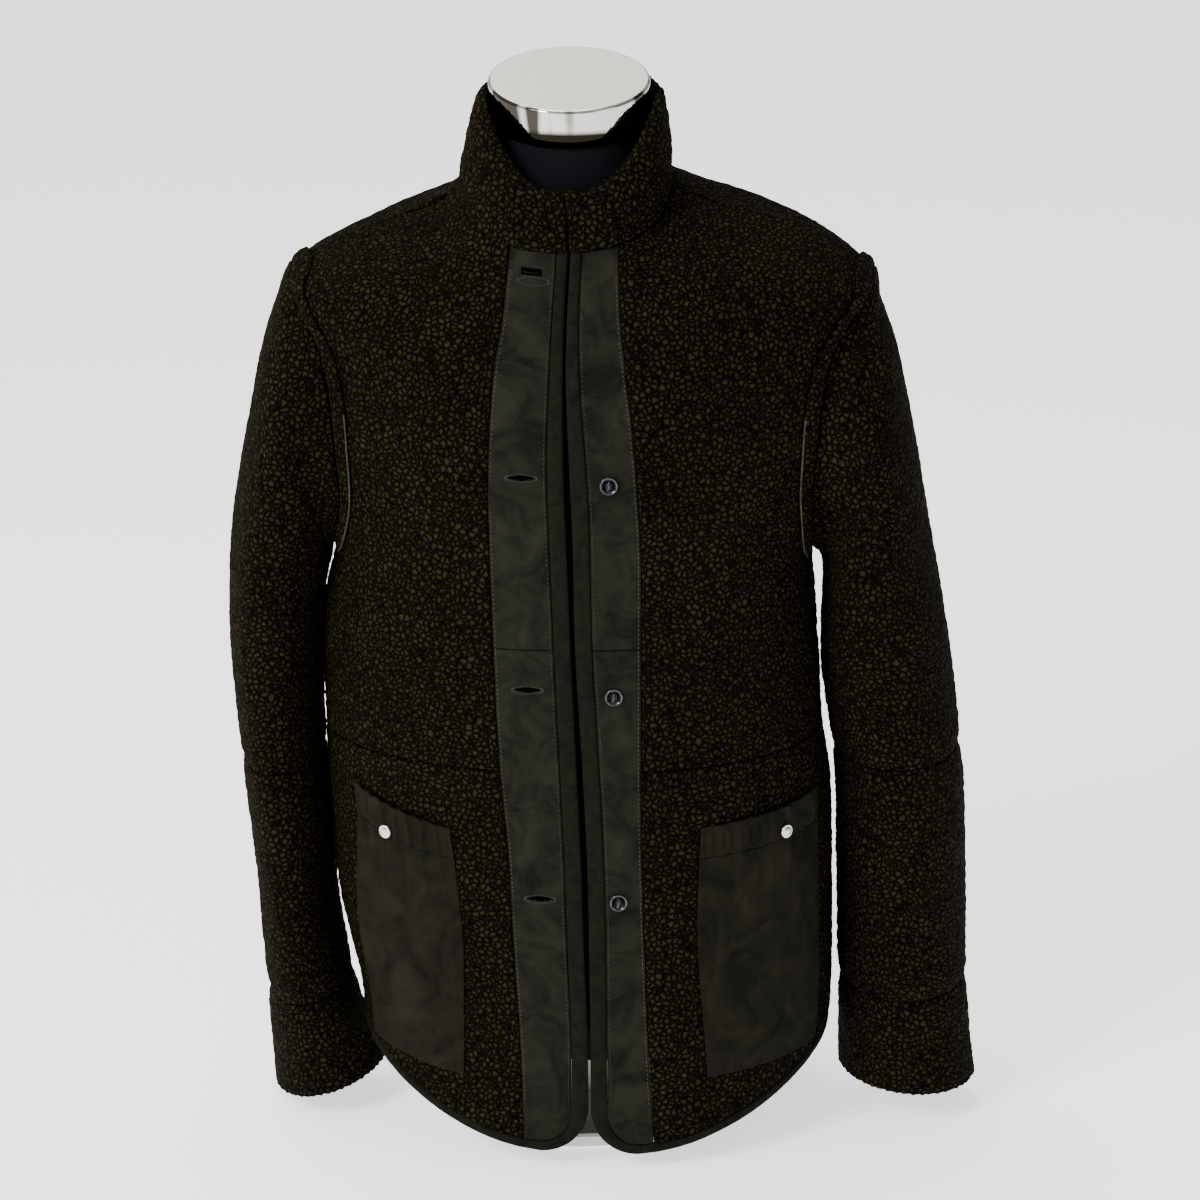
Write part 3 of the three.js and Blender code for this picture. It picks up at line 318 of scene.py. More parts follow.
def lay_grid(name, points, attributes=(), split=0, closed_columns=False):
    """A mesh from a bmesh grid moved to points[row, column], in millimetres.

    With split the rows run round a closed wall, and those from split on are its inner face.
    """
    rows, columns = points.shape[:2]
    if split:
        points = np.concatenate([points, points[:1]], 0)
    if closed_columns:
        points = np.concatenate([points, points[:, :1]], 1)
    grid_rows, grid_columns = points.shape[:2]
    bm = bmesh.new()
    bmesh.ops.create_grid(bm, x_segments=grid_columns - 1, y_segments=grid_rows - 1, size=1)
    layers = [bm.verts.layers.float.new(key) for key, _ in attributes]
    laid = {}
    flat = points * MM
    for vert in bm.verts:
        column = round((vert.co.x + 1) / 2 * (grid_columns - 1))
        row = round((vert.co.y + 1) / 2 * (grid_rows - 1))
        laid[row, column] = vert
        for layer, (_, values) in zip(layers, attributes):
            vert[layer] = values[row % rows, column % columns]
    for (row, column), vert in laid.items():
        vert.co = flat[row, column]
    if split and not closed_columns:
        for column in (0, grid_columns - 1):
            outer = [laid[row, column] for row in range(split)]
            inner = [laid[row, column] for row in range(rows - 1, split - 1, -1)]
            close_side(bm, outer, inner)
    bmesh.ops.remove_doubles(bm, verts=bm.verts, dist=2e-6)
    if not split:
        bmesh.ops.holes_fill(bm, edges=[edge for edge in bm.edges if edge.is_boundary], sides=0)
    bmesh.ops.recalc_face_normals(bm, faces=bm.faces)
    mesh = bpy.data.meshes.new(name)
    bm.to_mesh(mesh)
    bm.free()
    mesh.polygons.foreach_set("use_smooth", [True] * len(mesh.polygons))
    made = bpy.data.objects.new(name, mesh)
    bpy.context.collection.objects.link(made)
    return made


def over(points, field):
    """A field of one point at a time, worked out at every point of a grid."""
    return np.array([field(Vector(p)) for p in points.reshape(-1, 3)]).reshape(points.shape[:2])


EDGE_SHARE = 0.1


def shell(name, surface, breadth, height, material, relief, wall=FLEECE, step=2.1, inner_rows=14,
          tube=False, rounding=1.6, rows_at=None):
    """A closed shell. surface(u, v, depth) gives points in millimetres, with v along its length."""
    v_out = stations(height, step, rounding) if rows_at is None else rows_at
    from_end = np.minimum(v_out, 1 - v_out) * height
    bend = np.clip(1 - from_end / rounding, 0, 1)
    depth_out = wall / 2 * (1 - np.sqrt(1 - bend**2))
    v = np.concatenate([v_out, np.linspace(1, 0, inner_rows)])
    depth = np.concatenate([depth_out, np.full(inner_rows, wall)])
    outer = np.concatenate([np.ones(len(v_out)), np.zeros(inner_rows)])[:, None]
    if tube:
        u = np.arange(int(breadth / step)) / int(breadth / step)
        full = np.ones(len(u))
    else:
        u = stations(breadth, step, rounding)
        edge = np.minimum(u, 1 - u) * breadth
        full = np.sqrt(1 - np.clip(1 - edge / rounding, 0, 1) ** 2)
    grid_u, grid_v = np.meshgrid(u, v)
    grid_depth = wall / 2 + (depth[:, None] - wall / 2) * mix(EDGE_SHARE, 1, full)[None, :]
    raised, attributes = relief(surface(grid_u, grid_v, grid_depth), outer, full, grid_u, grid_v)
    moved = surface(grid_u, grid_v, grid_depth - raised * outer)
    made = lay_grid(name, moved, attributes, split=len(v_out), closed_columns=tube)
    made.data.materials.append(material)
    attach(made, "root")
    return made


TUFT = 8.5
PILE = 1.1


POCKET = {
    -1: {
        "z": (78, 177, 253, 283),
        "x": (-86, -85, -91, -94.5),
        "outer": (0.742, 0.625),
        "bottom": (75, 82),
        "top": (284, 305),
    },
    1: {
        "z": (80, 213, 286),
        "x": (106, 97, 99),
        "outer": (0.746, 0.758),
        "bottom": (77, 82),
        "top": (287, 295),
    },
}


def pocket_sides(side, z):
    """The turns of a pocket's inner and outer edge at a height."""
    outer = side * mix(*POCKET[side]["outer"], np.clip((z - 90) / 190, 0, 1))
    return turn_of(FRONT, z, along(POCKET[side], "z", "x", z)), outer


def pocket_place(side, across, z):
    return z, mix(*pocket_sides(side, z), across)


def under_pocket(side, ring, turn):
    """1 where a pocket lies on the front, falling to 0 within a few millimetres of its edges."""
    inner, outer = pocket_sides(side, ring)
    across = (turn - inner) / (outer - inner)
    low, high = mix(*POCKET[side]["bottom"], across), mix(*POCKET[side]["top"], across)
    beside = np.minimum(across, 1 - across) * 110
    return smooth(np.minimum.reduce([beside, ring - low, high - ring]), -2.0, 1.5)


def tuft_height(p):
    """How far the pile stands at a point, 0 in the gaps between tufts to 1 on top of one."""
    p = p / TUFT
    near, _ = noise.voronoi(p + noise.noise_vector(p * 0.8) * 0.45)
    return min((near[1] - near[0]) / 0.5, 1)


def ragged(angle):
    """How far the pile stands past a free edge, uneven all along it, in millimetres."""
    tufts = 0.9 * np.sin(41 * angle) * np.sin(7 * angle + 1) + 0.7 * np.sin(83 * angle + 2)
    return tufts + 0.5 * np.sin(131 * angle)


def pile_relief(amount=PILE, slow=1.0, pressed=None):
    """Tufts and a hanging panel's slow unevenness, in millimetres. pressed(u, v) is 1 where it lies flat."""

    def relief(points, outer, full, u, v):
        tuft = over(points, tuft_height) * outer
        wide = over(points, lambda p: noise.noise(p / 95.0) + 0.45 * noise.noise(p / 34.0))
        raised = amount * (tuft - 0.5) * (full[None, :] * 0.7 + 0.3) + slow * wide
        if pressed:
            raised = mix(raised, -0.6, pressed(u, v))
        # The tuft attribute also darkens the low pile in the shearling material, as painted shade.
        return raised, [("tuft", mix(0.5, tuft, outer))]

    return relief


def shearling_material(name="shearling", curl_mm=4.4):
    """Shearling: clipped wool in small curls with painted shade in the gaps between them, and a faint sheen.
    """
    made, tree, shader = new_material(
        name, Roughness=0.95, Sheen_Weight=0.02, Sheen_Roughness=0.5, Sheen_Tint=linear("#6b5d3f")
    )
    shader.inputs["Specular IOR Level"].default_value = 0.03
    place = add_node(tree, "ShaderNodeTexCoord")
    tuft = add_node(tree, "ShaderNodeAttribute", attribute_name="tuft")
    twist = add_node(
        tree, "ShaderNodeTexNoise", [("Vector", place.outputs["Object"])], Scale=1 / 0.006, Detail=1.0
    )
    shift = add_node(
        tree, "ShaderNodeVectorMath", [(0, twist.outputs["Color"])], operation="MULTIPLY"
    )
    shift.inputs[1].default_value = (0.0022, 0.0022, 0.0022)
    bent = add_node(
        tree, "ShaderNodeVectorMath", [(0, place.outputs["Object"]), (1, shift.outputs[0])], operation="ADD"
    )
    curls = add_node(
        tree, "ShaderNodeTexVoronoi", [("Vector", bent.outputs[0])], feature="DISTANCE_TO_EDGE",
        Scale=1000 / curl_mm,
    )
    strands = add_node(
        tree, "ShaderNodeTexNoise", [("Vector", bent.outputs[0])], Scale=1 / 0.0011, Detail=2.0
    )
    patches = add_node(
        tree, "ShaderNodeTexNoise", [("Vector", place.outputs["Object"])], Scale=1 / 0.05, Detail=3.0
    )
    # The same curl shape sets the colour: the gaps between curls are darkened as painted shade.
    rounded = add_node(
        tree, "ShaderNodeMapRange", [("Value", curls.outputs["Distance"])], interpolation_type="SMOOTHSTEP",
        From_Min=0.0, From_Max=0.38,
    )
    # Where the tufts sit low, the colour is darkened further as painted shade.
    tuft_painted_shade = add_node(
        tree, "ShaderNodeMapRange", [("Value", tuft.outputs["Fac"])], To_Min=0.75, To_Max=1.0
    )
    high = add_node(
        tree, "ShaderNodeMath", [(0, rounded.outputs[0]), (1, tuft_painted_shade.outputs[0])], operation="MULTIPLY"
    )
    fibre = add_node(
        tree, "ShaderNodeMapRange", [("Value", strands.outputs["Fac"])], From_Min=0.3, From_Max=0.7,
        To_Min=0.8, To_Max=1.15,
    )
    grain = add_node(
        tree, "ShaderNodeMath", [(0, high.outputs[0]), (1, fibre.outputs[0])], operation="MULTIPLY"
    )
    # The ramp runs from painted shade in the gaps to the curls' own colour on their tops.
    ramp = add_node(tree, "ShaderNodeValToRGB", [("Fac", grain.outputs[0])])
    stops = ramp.color_ramp.elements
    stops[0].position, stops[0].color = 0.05, linear("#050403")
    stops[1].position, stops[1].color = 0.95, linear("#34301d")
    middle = stops.new(0.4)
    middle.color = linear("#211c11")
    tint = add_node(
        tree, "ShaderNodeMix", [("Factor", patches.outputs["Fac"]), (6, ramp.outputs["Color"])],
        data_type="RGBA", blend_type="MULTIPLY",
    )
    tint.inputs[7].default_value = linear("#a9a28a")
    tree.links.new(shader.inputs["Base Color"], tint.outputs[2])
    bump = add_node(
        tree, "ShaderNodeBump", [("Height", grain.outputs[0])], Strength=1.0, Distance=0.0022
    )
    tree.links.new(shader.inputs["Normal"], bump.outputs["Normal"])
    return made


shearling = shearling_material()


def front_upper(side):
    def surface(u, v, depth):
        ring = mix(WAIST_SEAM + SEAM / 2, NECK_RING - 0.5, v)
        return skin(FRONT, ring, front_turn(side, ring, u), -depth)

    return surface


def front_lower(side):
    def place(u, v):
        foot_turn = front_turn(side, np.full_like(u, 40.0), u)
        foot = hem_height(side, ring_point(FRONT, 60.0, foot_turn)[..., 0]) + BINDING_HEM + SEAM
        ring = mix(foot, WAIST_SEAM - SEAM / 2, v)
        return ring, front_turn(side, ring, u)

    def surface(u, v, depth):
        return skin(FRONT, *place(u, v), -depth)

    return surface, lambda u, v: under_pocket(side, *place(u, v))


for side, word in SIDES:
    lower, below_pocket = front_lower(side)
    for part, surface, size, pressed, flat in (
        ("upper", front_upper(side), (185, 432), None, (0.215, 0.440)),
        ("lower", lower, (190, 285), below_pocket, (0.200, 0.310)),
    ):
        relief = pile_relief(pressed=pressed)
        piece = shell(f"fleece_front_{part}_{word}", surface, *size, shearling, relief)
        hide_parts(f"front_{part}_{word}")

# Back
# One panel of shearling from side seam to side seam, hung from the shoulder seams and the collar.
BACK_HEM_MIDDLE, BACK_HEM_SIDE = 64.0, 88.0


def back_surface(u, v, depth):
    turn = mix(-1, 1, u)
    foot = mix(BACK_HEM_MIDDLE, BACK_HEM_SIDE, turn**2) + BINDING_HEM + SEAM
    return skin(BACK, mix(foot, NECK_RING - 0.5, v), turn, -depth)


back = shell("fleece_back", back_surface, 470, 690, shearling, pile_relief(), step=3.0, inner_rows=20)
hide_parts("back")

# Sleeves and cuffs
# Shearling tubes set into the armholes, pieced at the elbow, with a band at the wrist.
# They hang empty and flattened, with a few soft ridges down their length.
SLEEVE = {
    -1: {
        "down": (20, 60, 110, 165, 220, 290, 350, 400, 450, 520, 590, 615, 640, 690),
        "out_x": (233, 246, 256, 267, 275, 278, 275, 272, 267, 261, 258, 256, 255, 252),
        "out_z": (680, 641, 593, 538, 483, 418, 352, 305, 258, 190, 124, 100, 76, 10),
        "in_x": (195, 196, 199, 202.5, 204.5, 205, 205, 203.5, 201, 198.5, 190.5, 185.5, 182, 158),
        "in_z": (476, 464, 452, 434, 411, 375, 332, 303, 258, 192, 128, 106, 86, 36),
        "front": (78, 82, 84, 83, 81, 78, 76, 75, 76, 75, 72, 71, 71, 68),
        "back": (80, 84, 85, 83, 80, 76, 72, 68, 62, 53, 44, 42, 41, 38),
    },
    1: {
        "down": (20, 60, 110, 165, 220, 290, 350, 400, 450, 520, 590, 615, 640, 690),
        "out_x": (233, 247, 258, 269, 279, 291, 301, 306, 310, 313, 315, 316, 318, 325),
        "out_z": (680, 641, 593, 538, 483, 418, 357, 314, 262, 195, 132, 112, 86, 25),
        "in_x": (189.5, 192, 192.8, 192.4, 191.9, 193.5, 198.5, 202.5, 207, 208.5, 210, 211, 212, 213),
        "in_z": (474, 465, 452, 434, 411, 375, 338, 311, 262, 197, 134, 112, 88, 34),
        "front": (78, 82, 84, 82, 79, 75, 72, 71, 70, 68, 66, 66, 66, 64),
        "back": (80, 84, 85, 82, 78, 74, 69, 65, 59, 50, 43, 42, 41, 38),
    },
}
RIDGES = {
    -1: {
        "start": (40, 150, 30, 330, 430),
        "end": (620, 420, 260, 500, 620),
        "place": (62, 120, 88, 140, 100),
        "drift": (14, -10, -22, -18, 24),
        "height": (5, 3, 2.6, 2.6, 2.2),
        "width": (24, 22, 16, 16, 16),
    },
    1: {
        "start": (60, 250, 30, 330, 430),
        "end": (330, 680, 240, 480, 630),
        "place": (128, 70, 60, 120, 110),
        "drift": (-12, 20, 20, -22, -16),
        "height": (6, 3.5, 2.6, 2.6, 2.0),
        "width": (26, 28, 16, 16, 18),
    },
}
ELBOW_SEAM, CUFF_SEAM, SLEEVE_END, FIRST_RING = 400.0, 615.0, 690.0, 20.0
SEAM_PINCH = 2.0
LAP_LIFT, CROWN_WALL, LAP_FROM, LAP_TO = 0.9, 3.0, 12.0, 48.0
CROWN_INSET, OUTER_INSET, INNER_INSET = 4.0, 7.0, 1.0


def beside_armhole(side, around, inset, lift):
    """Points of the body beside the armhole. around is 0 at the crown, 90 in front and 270 at the back."""
    angle = np.radians(around)
    result = np.empty(np.shape(around) + (3,))
    for half in (FRONT, BACK):
        chosen = (around <= 180) if half == FRONT else (around > 180)
        w = np.cos(angle)
        y = half * (ARMHOLE_REACH[half] + inset) * np.sqrt(np.maximum(1 - np.abs(w) ** ARMHOLE_SQUARENESS, 0))
        z = ARMHOLE_MIDDLE + w * (ARMHOLE_HALF + inset * np.where(w > 0, ARMHOLE_CROWN, 1))
        ring = z.copy()
        for _ in range(8):
            ring = z - ring_shape(half, ring)[3] * y
        depth, width, _, _, shift = ring_shape(half, ring)
        x = width * (1 - np.minimum(np.abs(y) / depth, 1) ** SQUARENESS) ** (1 / SQUARENESS)
        points = skin(half, ring, turn_of(half, ring, shift + side * x), lift)
        result[chosen] = points[chosen]
    return result


def sleeve_tube(side, around, down, draw_in):
    """Points of a sleeve below its head, drawn in by the depth given."""
    table = SLEEVE[side]
    value = lambda column: along(table, "down", column, down)
    outer = np.stack([side * value("out_x"), value("out_z")], -1)
    inner = np.stack([side * value("in_x"), value("in_z")], -1)
    middle, arm = (outer + inner) / 2, (outer - inner) / 2
    length = np.linalg.norm(arm, axis=-1)
    bulge = np.zeros_like(down)
    ridges = RIDGES[side]
    for k, start in enumerate(ridges["start"]):
        share = np.clip((down - start) / (ridges["end"][k] - start), 0, 1)
        place = ridges["place"][k] + ridges["drift"][k] * share
        shape = np.exp(-(((around - place) / ridges["width"][k]) ** 2))
        bulge += ridges["height"][k] * np.sin(math.pi * share) ** 0.7 * shape
    pinch = sum(np.exp(-(((down - seam) / 9.0) ** 2)) for seam in (ELBOW_SEAM, CUFF_SEAM)) * SEAM_PINCH
    draw = bulge - draw_in - pinch
    c, s = np.cos(np.radians(around)), np.sin(np.radians(around))
    x = middle[..., 0] + arm[..., 0] * c * (length + draw) / length
    z = middle[..., 1] + arm[..., 1] * c * (length + draw) / length
    y = -s * (np.where(s > 0, value("front"), value("back")) + draw)
    return np.stack([x, y, z], -1)


def sleeve_surface(side, start, end):
    def surface(u, v, depth):
        around = np.asarray(u) * 360.0
        down = mix(start, end, v)
        if end == SLEEVE_END:
            down = down + 0.8 * ragged(np.radians(around)) * smooth(v, 0.6, 1.0)
        below = sleeve_tube(side, around, np.maximum(down, FIRST_RING), depth)
        if start >= FIRST_RING:
            return below
        k = smooth(np.minimum(around, 360 - around), LAP_FROM, LAP_TO)
        share = depth / FLEECE
        inset = mix(CROWN_INSET, mix(OUTER_INSET, INNER_INSET, share), k)
        head = beside_armhole(side, around, inset, LAP_LIFT + CROWN_WALL * (1 - share) * (1 - k))
        crown = np.maximum(np.cos(np.radians(around)), 0) ** 2
        first = sleeve_tube(side, around, np.full_like(down, FIRST_RING), depth)
        out = np.array([side * 0.8, 0, 0.6])
        shoulder = mix(head, first, 0.3) + out * crown[..., None]
        bend = (shoulder - 0.49 * head - 0.09 * first) / 0.42
        t = np.clip(down / FIRST_RING, 0, 1)[..., None]
        above = (1 - t) ** 2 * head + 2 * t * (1 - t) * bend + t * t * first
        return np.where((down < FIRST_RING)[..., None], above, below)

    return surface


for side, word in SIDES:
    for part, start, end, around, rows, flat in (
        ("sleeve_upper", 0.0, ELBOW_SEAM - SEAM / 2, 440, 16, (0.390, 0.385)),
        ("sleeve_lower", ELBOW_SEAM + SEAM / 2, CUFF_SEAM - SEAM / 2, 350, 8, (0.350, 0.212)),
        ("cuff", CUFF_SEAM + SEAM / 2, SLEEVE_END, 320, 4, (0.315, 0.075)),
    ):
        piece = shell(
            f"fleece_{part}_{word}", sleeve_surface(side, start, end), around, end - start, shearling,
            pile_relief(), step=2.4, tube=True, inner_rows=rows,
        )
        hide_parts(f"{part}_{word}")

# Collar
# One standing band of shearling, pile on both faces, open in front with slanted corners.
COLLAR_WALL, COLLAR_OVER, COLLAR_SEAT, COLLAR_GAP = 7.0, 3.0, 0.9, 0.6
COLLAR_TOP = {"half": 71.5, "front": 80.0, "back": 74.0, "shift": -5.5}
COLLAR_HEIGHT = {"front": 776.0, "side": 836.0, "back": 850.0}
COLLAR_BASE_X, COLLAR_TOP_X = -3.2, -7.4
COLLAR_OVERLAP = 2.2


def collar_surface(u, v, depth):
    neck_depth, neck_width, _, neck_tilt, neck_shift = ring_shape(FRONT, NECK_RING)
    nape_depth, _, _, nape_tilt, _ = ring_shape(BACK, NECK_RING)
    draw = depth - 2 * np.sin(math.pi * v)
    width = mix(neck_width + COLLAR_OVER, COLLAR_TOP["half"], v) - draw
    front = mix(neck_depth + COLLAR_OVER, COLLAR_TOP["front"], v) - draw
    rear = mix(nape_depth + COLLAR_OVER, COLLAR_TOP["back"], v) - draw
    middle = mix(neck_shift, COLLAR_TOP["shift"], v)
    edge = mix(COLLAR_BASE_X, COLLAR_TOP_X, v)
    start = np.arcsin(power((middle - edge + COLLAR_GAP / 2) / width, SQUARENESS / 2))
    end = np.arcsin(power((edge + COLLAR_GAP / 2 - middle) / width, SQUARENESS / 2))
    angle = mix(start, 2 * math.pi - end, u)
    s, c = power(np.sin(angle), 2 / SQUARENESS), power(np.cos(angle), 2 / SQUARENESS)
    y = -c * np.where(c > 0, front, rear)
    low = NECK_RING - c * np.where(c > 0, neck_tilt * neck_depth, nape_tilt * nape_depth) + COLLAR_SEAT
    top = np.where(c > 0, COLLAR_HEIGHT["front"], COLLAR_HEIGHT["back"])
    high = mix(top, COLLAR_HEIGHT["side"], np.abs(np.sin(angle)) ** 2.4)
    low = low - COLLAR_OVERLAP + 0.6 * ragged(angle)
    return np.stack([middle - s * width, y, mix(low, high + 0.8 * ragged(angle + 1), v)], -1)


collar = shell(
    "fleece_collar", collar_surface, 520, 75, shearling, pile_relief(1.4, 1.0), wall=COLLAR_WALL,
    inner_rows=36, rounding=4.0,
)
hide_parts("collar")

# Placket strips
# Suede strips, nap side out, from the binding to the fronts' edges, pieced at the chest.
# The wearer's right strip has four stitched buttonholes; thread runs beside every seam.
STRIP_WALL, STRIP_LIFT = 4.0, -1.0
BUTTONHOLES = ((-30, 719), (-38, 570), (-34, 402), (-25, 231))
HOLE_HALF_LENGTH, HOLE_HALF_WIDTH, HOLE_DEPTH = 11.0, 2.1, 3.2


def suede_material(name, dark, light, patch_mm):
    """Suede: napped leather with cloudy patches where the nap lies another way, matt with a soft sheen."""
    made, tree, shader = new_material(
        name, Roughness=0.9, Sheen_Weight=0.03, Sheen_Roughness=0.4, Sheen_Tint=linear("#86836f")
    )
    shader.inputs["Specular IOR Level"].default_value = 0.05
    place = add_node(tree, "ShaderNodeTexCoord")
    clouds = add_node(
        tree, "ShaderNodeTexNoise", [("Vector", place.outputs["Object"])], Scale=1000 / patch_mm,
        Detail=6.0, Roughness=0.66, Distortion=1.0,
    )
    nap = add_node(
        tree, "ShaderNodeTexNoise", [("Vector", place.outputs["Object"])], Scale=1 / 0.0009, Detail=2.0
    )
    ramp = add_node(tree, "ShaderNodeValToRGB", [("Fac", clouds.outputs["Fac"])])
    stops = ramp.color_ramp.elements
    stops[0].position, stops[0].color = 0.34, linear(dark)
    stops[1].position, stops[1].color = 0.68, linear(light)
    speckle = add_node(
        tree, "ShaderNodeMix", [(6, ramp.outputs["Color"]), (7, nap.outputs["Color"])],
        data_type="RGBA", blend_type="OVERLAY", Factor=0.18,
    )
    tree.links.new(shader.inputs["Base Color"], speckle.outputs[2])
    bump = add_node(tree, "ShaderNodeBump", [("Height", nap.outputs["Fac"])], Strength=0.25, Distance=0.0004)
    tree.links.new(shader.inputs["Normal"], bump.outputs["Normal"])
    return made


suede = suede_material("suede", "#0e0e0a", "#21211a", 30)
thread, _, _ = new_material("sewing_thread", Base_Color=linear("#1b1b15"), Roughness=0.7)
# Inside the buttonholes: near black with no reflection, the dark layer beneath deepened by painted shade.
hole_shade, _, _ = new_material(
    "buttonhole_opening_painted_shade", Base_Color=linear("#030302"), Roughness=1.0, Specular_IOR_Level=0.0
)
pale_thread, _, _ = new_material("pale_sewing_thread", Base_Color=linear("#3a382a"), Roughness=0.8)


def binding_width(z):
    return mix(BINDING_FRONT, BINDING_TOP, smooth(z, 540, 720))


def strip_edge_x(side, z):
    """The placket strip's edge beside the binding, rounded at the front corner."""
    corner = HEM_LOW[side] + CORNER
    straight = edge_x(side, z) + side * (binding_width(z) + SEAM)
    centre = edge_x(side, corner) + side * CORNER
    across, down = CORNER - BINDING_FRONT - SEAM, CORNER - BINDING_HEM - SEAM
    below = np.clip((corner - z) / down, 0, 1)
    return np.where(z < corner, centre - side * across * np.sqrt(1 - below**2), straight)


def placket(side, part):
    foot = HEM_LOW[side] + BINDING_HEM + SEAM

    def place(u, v):
        if part == "upper":
            ring = mix(PLACKET_SEAM + SEAM / 2, NECK_RING - 0.5, v)
        else:
            ring = mix(foot, PLACKET_SEAM - SEAM / 2, v)
        z = front_height(ring)
        x = mix(strip_edge_x(side, z), placket_x(side, z) - side * SEAM / 2, u)
        rise = np.clip((WAIST_SEAM - ring) / (WAIST_SEAM - foot), 0, 1)
        ring = ring + (hem_height(side, x) + BINDING_HEM + SEAM - foot) * rise
        return ring, turn_of(FRONT, ring, x), x

    def surface(u, v, depth):
        ring, turn, _ = place(u, v)
        return skin(FRONT, ring, turn, STRIP_LIFT - depth)

    return place, surface


def placket_relief(side, place):
    """Buttonholes pulled slightly open, and soft unevenness of the suede."""

    def relief(points, outer, full, u, v):
        _, _, x = place(u, v)
        z = points[..., 2]
        raised = 0.5 * over(points, lambda p: noise.noise(p / 30.0))
        hole = np.zeros_like(raised)
        if side < 0:
            for hole_x, hole_z in BUTTONHOLES:
                across = np.clip(np.abs(x - hole_x) / HOLE_HALF_LENGTH, 0, 1)
                open_half = HOLE_HALF_WIDTH * (1 - across**2)
                inside = smooth(open_half - np.abs(z - hole_z), -0.1, 0.5) * (across < 1)
                lip = np.exp(-(((np.abs(z - hole_z) - open_half - 1.0) / 0.8) ** 2)) * (across < 1)
                raised = raised - HOLE_DEPTH * inside + 0.35 * lip
                hole = np.maximum(hole, inside)
        return raised, [("hole", hole * outer)]

    return relief


def rows_near_holes(side, low, high):
    """Shares of a strip's length, every 3 mm and every 0.5 mm across its buttonholes."""
    length = high - low
    rows = set(np.round(stations(length, 3.0, 1.6) * length, 3))
    for _, hole_z in BUTTONHOLES if side < 0 else ():
        z = hole_z - low
        if 0 < z < length:
            rows = {row for row in rows if abs(row - z) > 5} | set(np.arange(z - 4.5, z + 4.6, 0.5))
    return np.array(sorted(rows)) / length


def on_front(x, z, lift):
    """A point above the front at a given x and height, and the way out of the front there."""
    ring = z + along(BODY, "ring", "front_tilt", z) * along(BODY, "ring", "front", z)
    turn = turn_of(FRONT, ring, x)
    seat, normal = skin(FRONT, ring, turn, lift), skin_normal(FRONT, ring, turn)
    return Vector(seat) * MM, Vector(normal)


def stitches(name, path, material, length=2.6, pitch=3.6, radius=0.28):
    """A run of stitches along a path of points in metres, as one piece of short thread lengths."""
    bm = bmesh.new()
    travelled, due = 0.0, 0.0
    for a, b in zip(path, path[1:]):
        span = (b - a).length
        while due < travelled + span and span > 0:
            middle = a.lerp(b, (due - travelled) / span)
            turn = (b - a).to_track_quat("Z", "Y").to_matrix().to_4x4()
            long = Matrix.Diagonal((radius * MM, radius * MM, length / 2 * MM, 1))
            bmesh.ops.create_icosphere(
                bm, subdivisions=1, radius=1.0, matrix=Matrix.Translation(middle) @ turn @ long
            )
            due += pitch * MM
        travelled += span
    mesh = bpy.data.meshes.new(name)
    bm.to_mesh(mesh)
    bm.free()
    mesh.polygons.foreach_set("use_smooth", [True] * len(mesh.polygons))
    mesh.materials.append(material)
    made = bpy.data.objects.new(name, mesh)
    bpy.context.collection.objects.link(made)
    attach(made, "root")
    return made


for side, word in SIDES:
    foot = HEM_LOW[side] + BINDING_HEM + SEAM
    wide = 0.050 if side < 0 else 0.042
    for part, low, high, flat in (
        ("upper", PLACKET_SEAM, NECK_RING, (wide, 0.335)),
        ("lower", foot, PLACKET_SEAM, (wide, 0.425)),
    ):
        place, surface = placket(side, part)
        piece = shell(
            f"suede_placket_{part}_{word}", surface, 42, high - low, suede, placket_relief(side, place),
            wall=STRIP_WALL, step=1.4, rounding=1.2, rows_at=rows_near_holes(side, low, high),
        )
        # Faces inside the buttonholes take the near black painted shade.
        piece.data.materials.append(hole_shade)
        hole = piece.data.attributes["hole"].data
        for face in piece.data.polygons:
            face.material_index = int(sum(hole[vertex].value for vertex in face.vertices) > 1.6)
        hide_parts(f"placket_{part}_{word}")
    heights = np.arange(HEM_LOW[side] + CORNER + 6, 730, 6.0)
    for label, at_x, material in (
        ("edge", lambda z: strip_edge_x(side, z) + side * 2.0, thread),
        ("seam", lambda z: placket_x(side, z) - side * 2.2, pale_thread),
    ):
        path = [on_front(float(at_x(np.array(z))), z, STRIP_LIFT + 0.1)[0] for z in heights]
        run = stitches(f"thread_{label}_{word}", path, material)

for i, (hole_x, hole_z) in enumerate(BUTTONHOLES):
    bars = bmesh.new()
    for k in range(40):
        angle = 2 * math.pi * k / 40
        across = math.cos(angle)
        rim = HOLE_HALF_WIDTH * (1 - across**2) + 0.9
        x = hole_x + (HOLE_HALF_LENGTH + 0.9) * across
        z = hole_z + math.copysign(rim, math.sin(angle)) * min(abs(math.sin(angle)) * 4, 1)
        seat, normal = on_front(x, z, STRIP_LIFT + 0.35)
        outward = Vector((across * 0.5, 0, math.sin(angle)))
        turn = outward.to_track_quat("Z", "Y").to_matrix().to_4x4()
        long = Matrix.Diagonal((0.3 * MM, 0.3 * MM, 1.1 * MM, 1))
        bmesh.ops.create_icosphere(
            bars, subdivisions=1, radius=1.0, matrix=Matrix.Translation(seat) @ turn @ long
        )
    mesh = bpy.data.meshes.new(f"thread_buttonhole_{i + 1}")
    bars.to_mesh(mesh)
    bars.free()
    mesh.materials.append(thread)
    piece = bpy.data.objects.new(mesh.name, mesh)
    bpy.context.collection.objects.link(piece)
    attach(piece, "root")

# Bindings
# Narrow strips of smooth suede folded over each front edge, round its corner and along the hems.
BINDING_LIFT, BINDING_WALL = -0.5, 5.0
SECTION = 20
binding_suede = suede_material("binding_suede", "#0c0c08", "#17170f", 9)


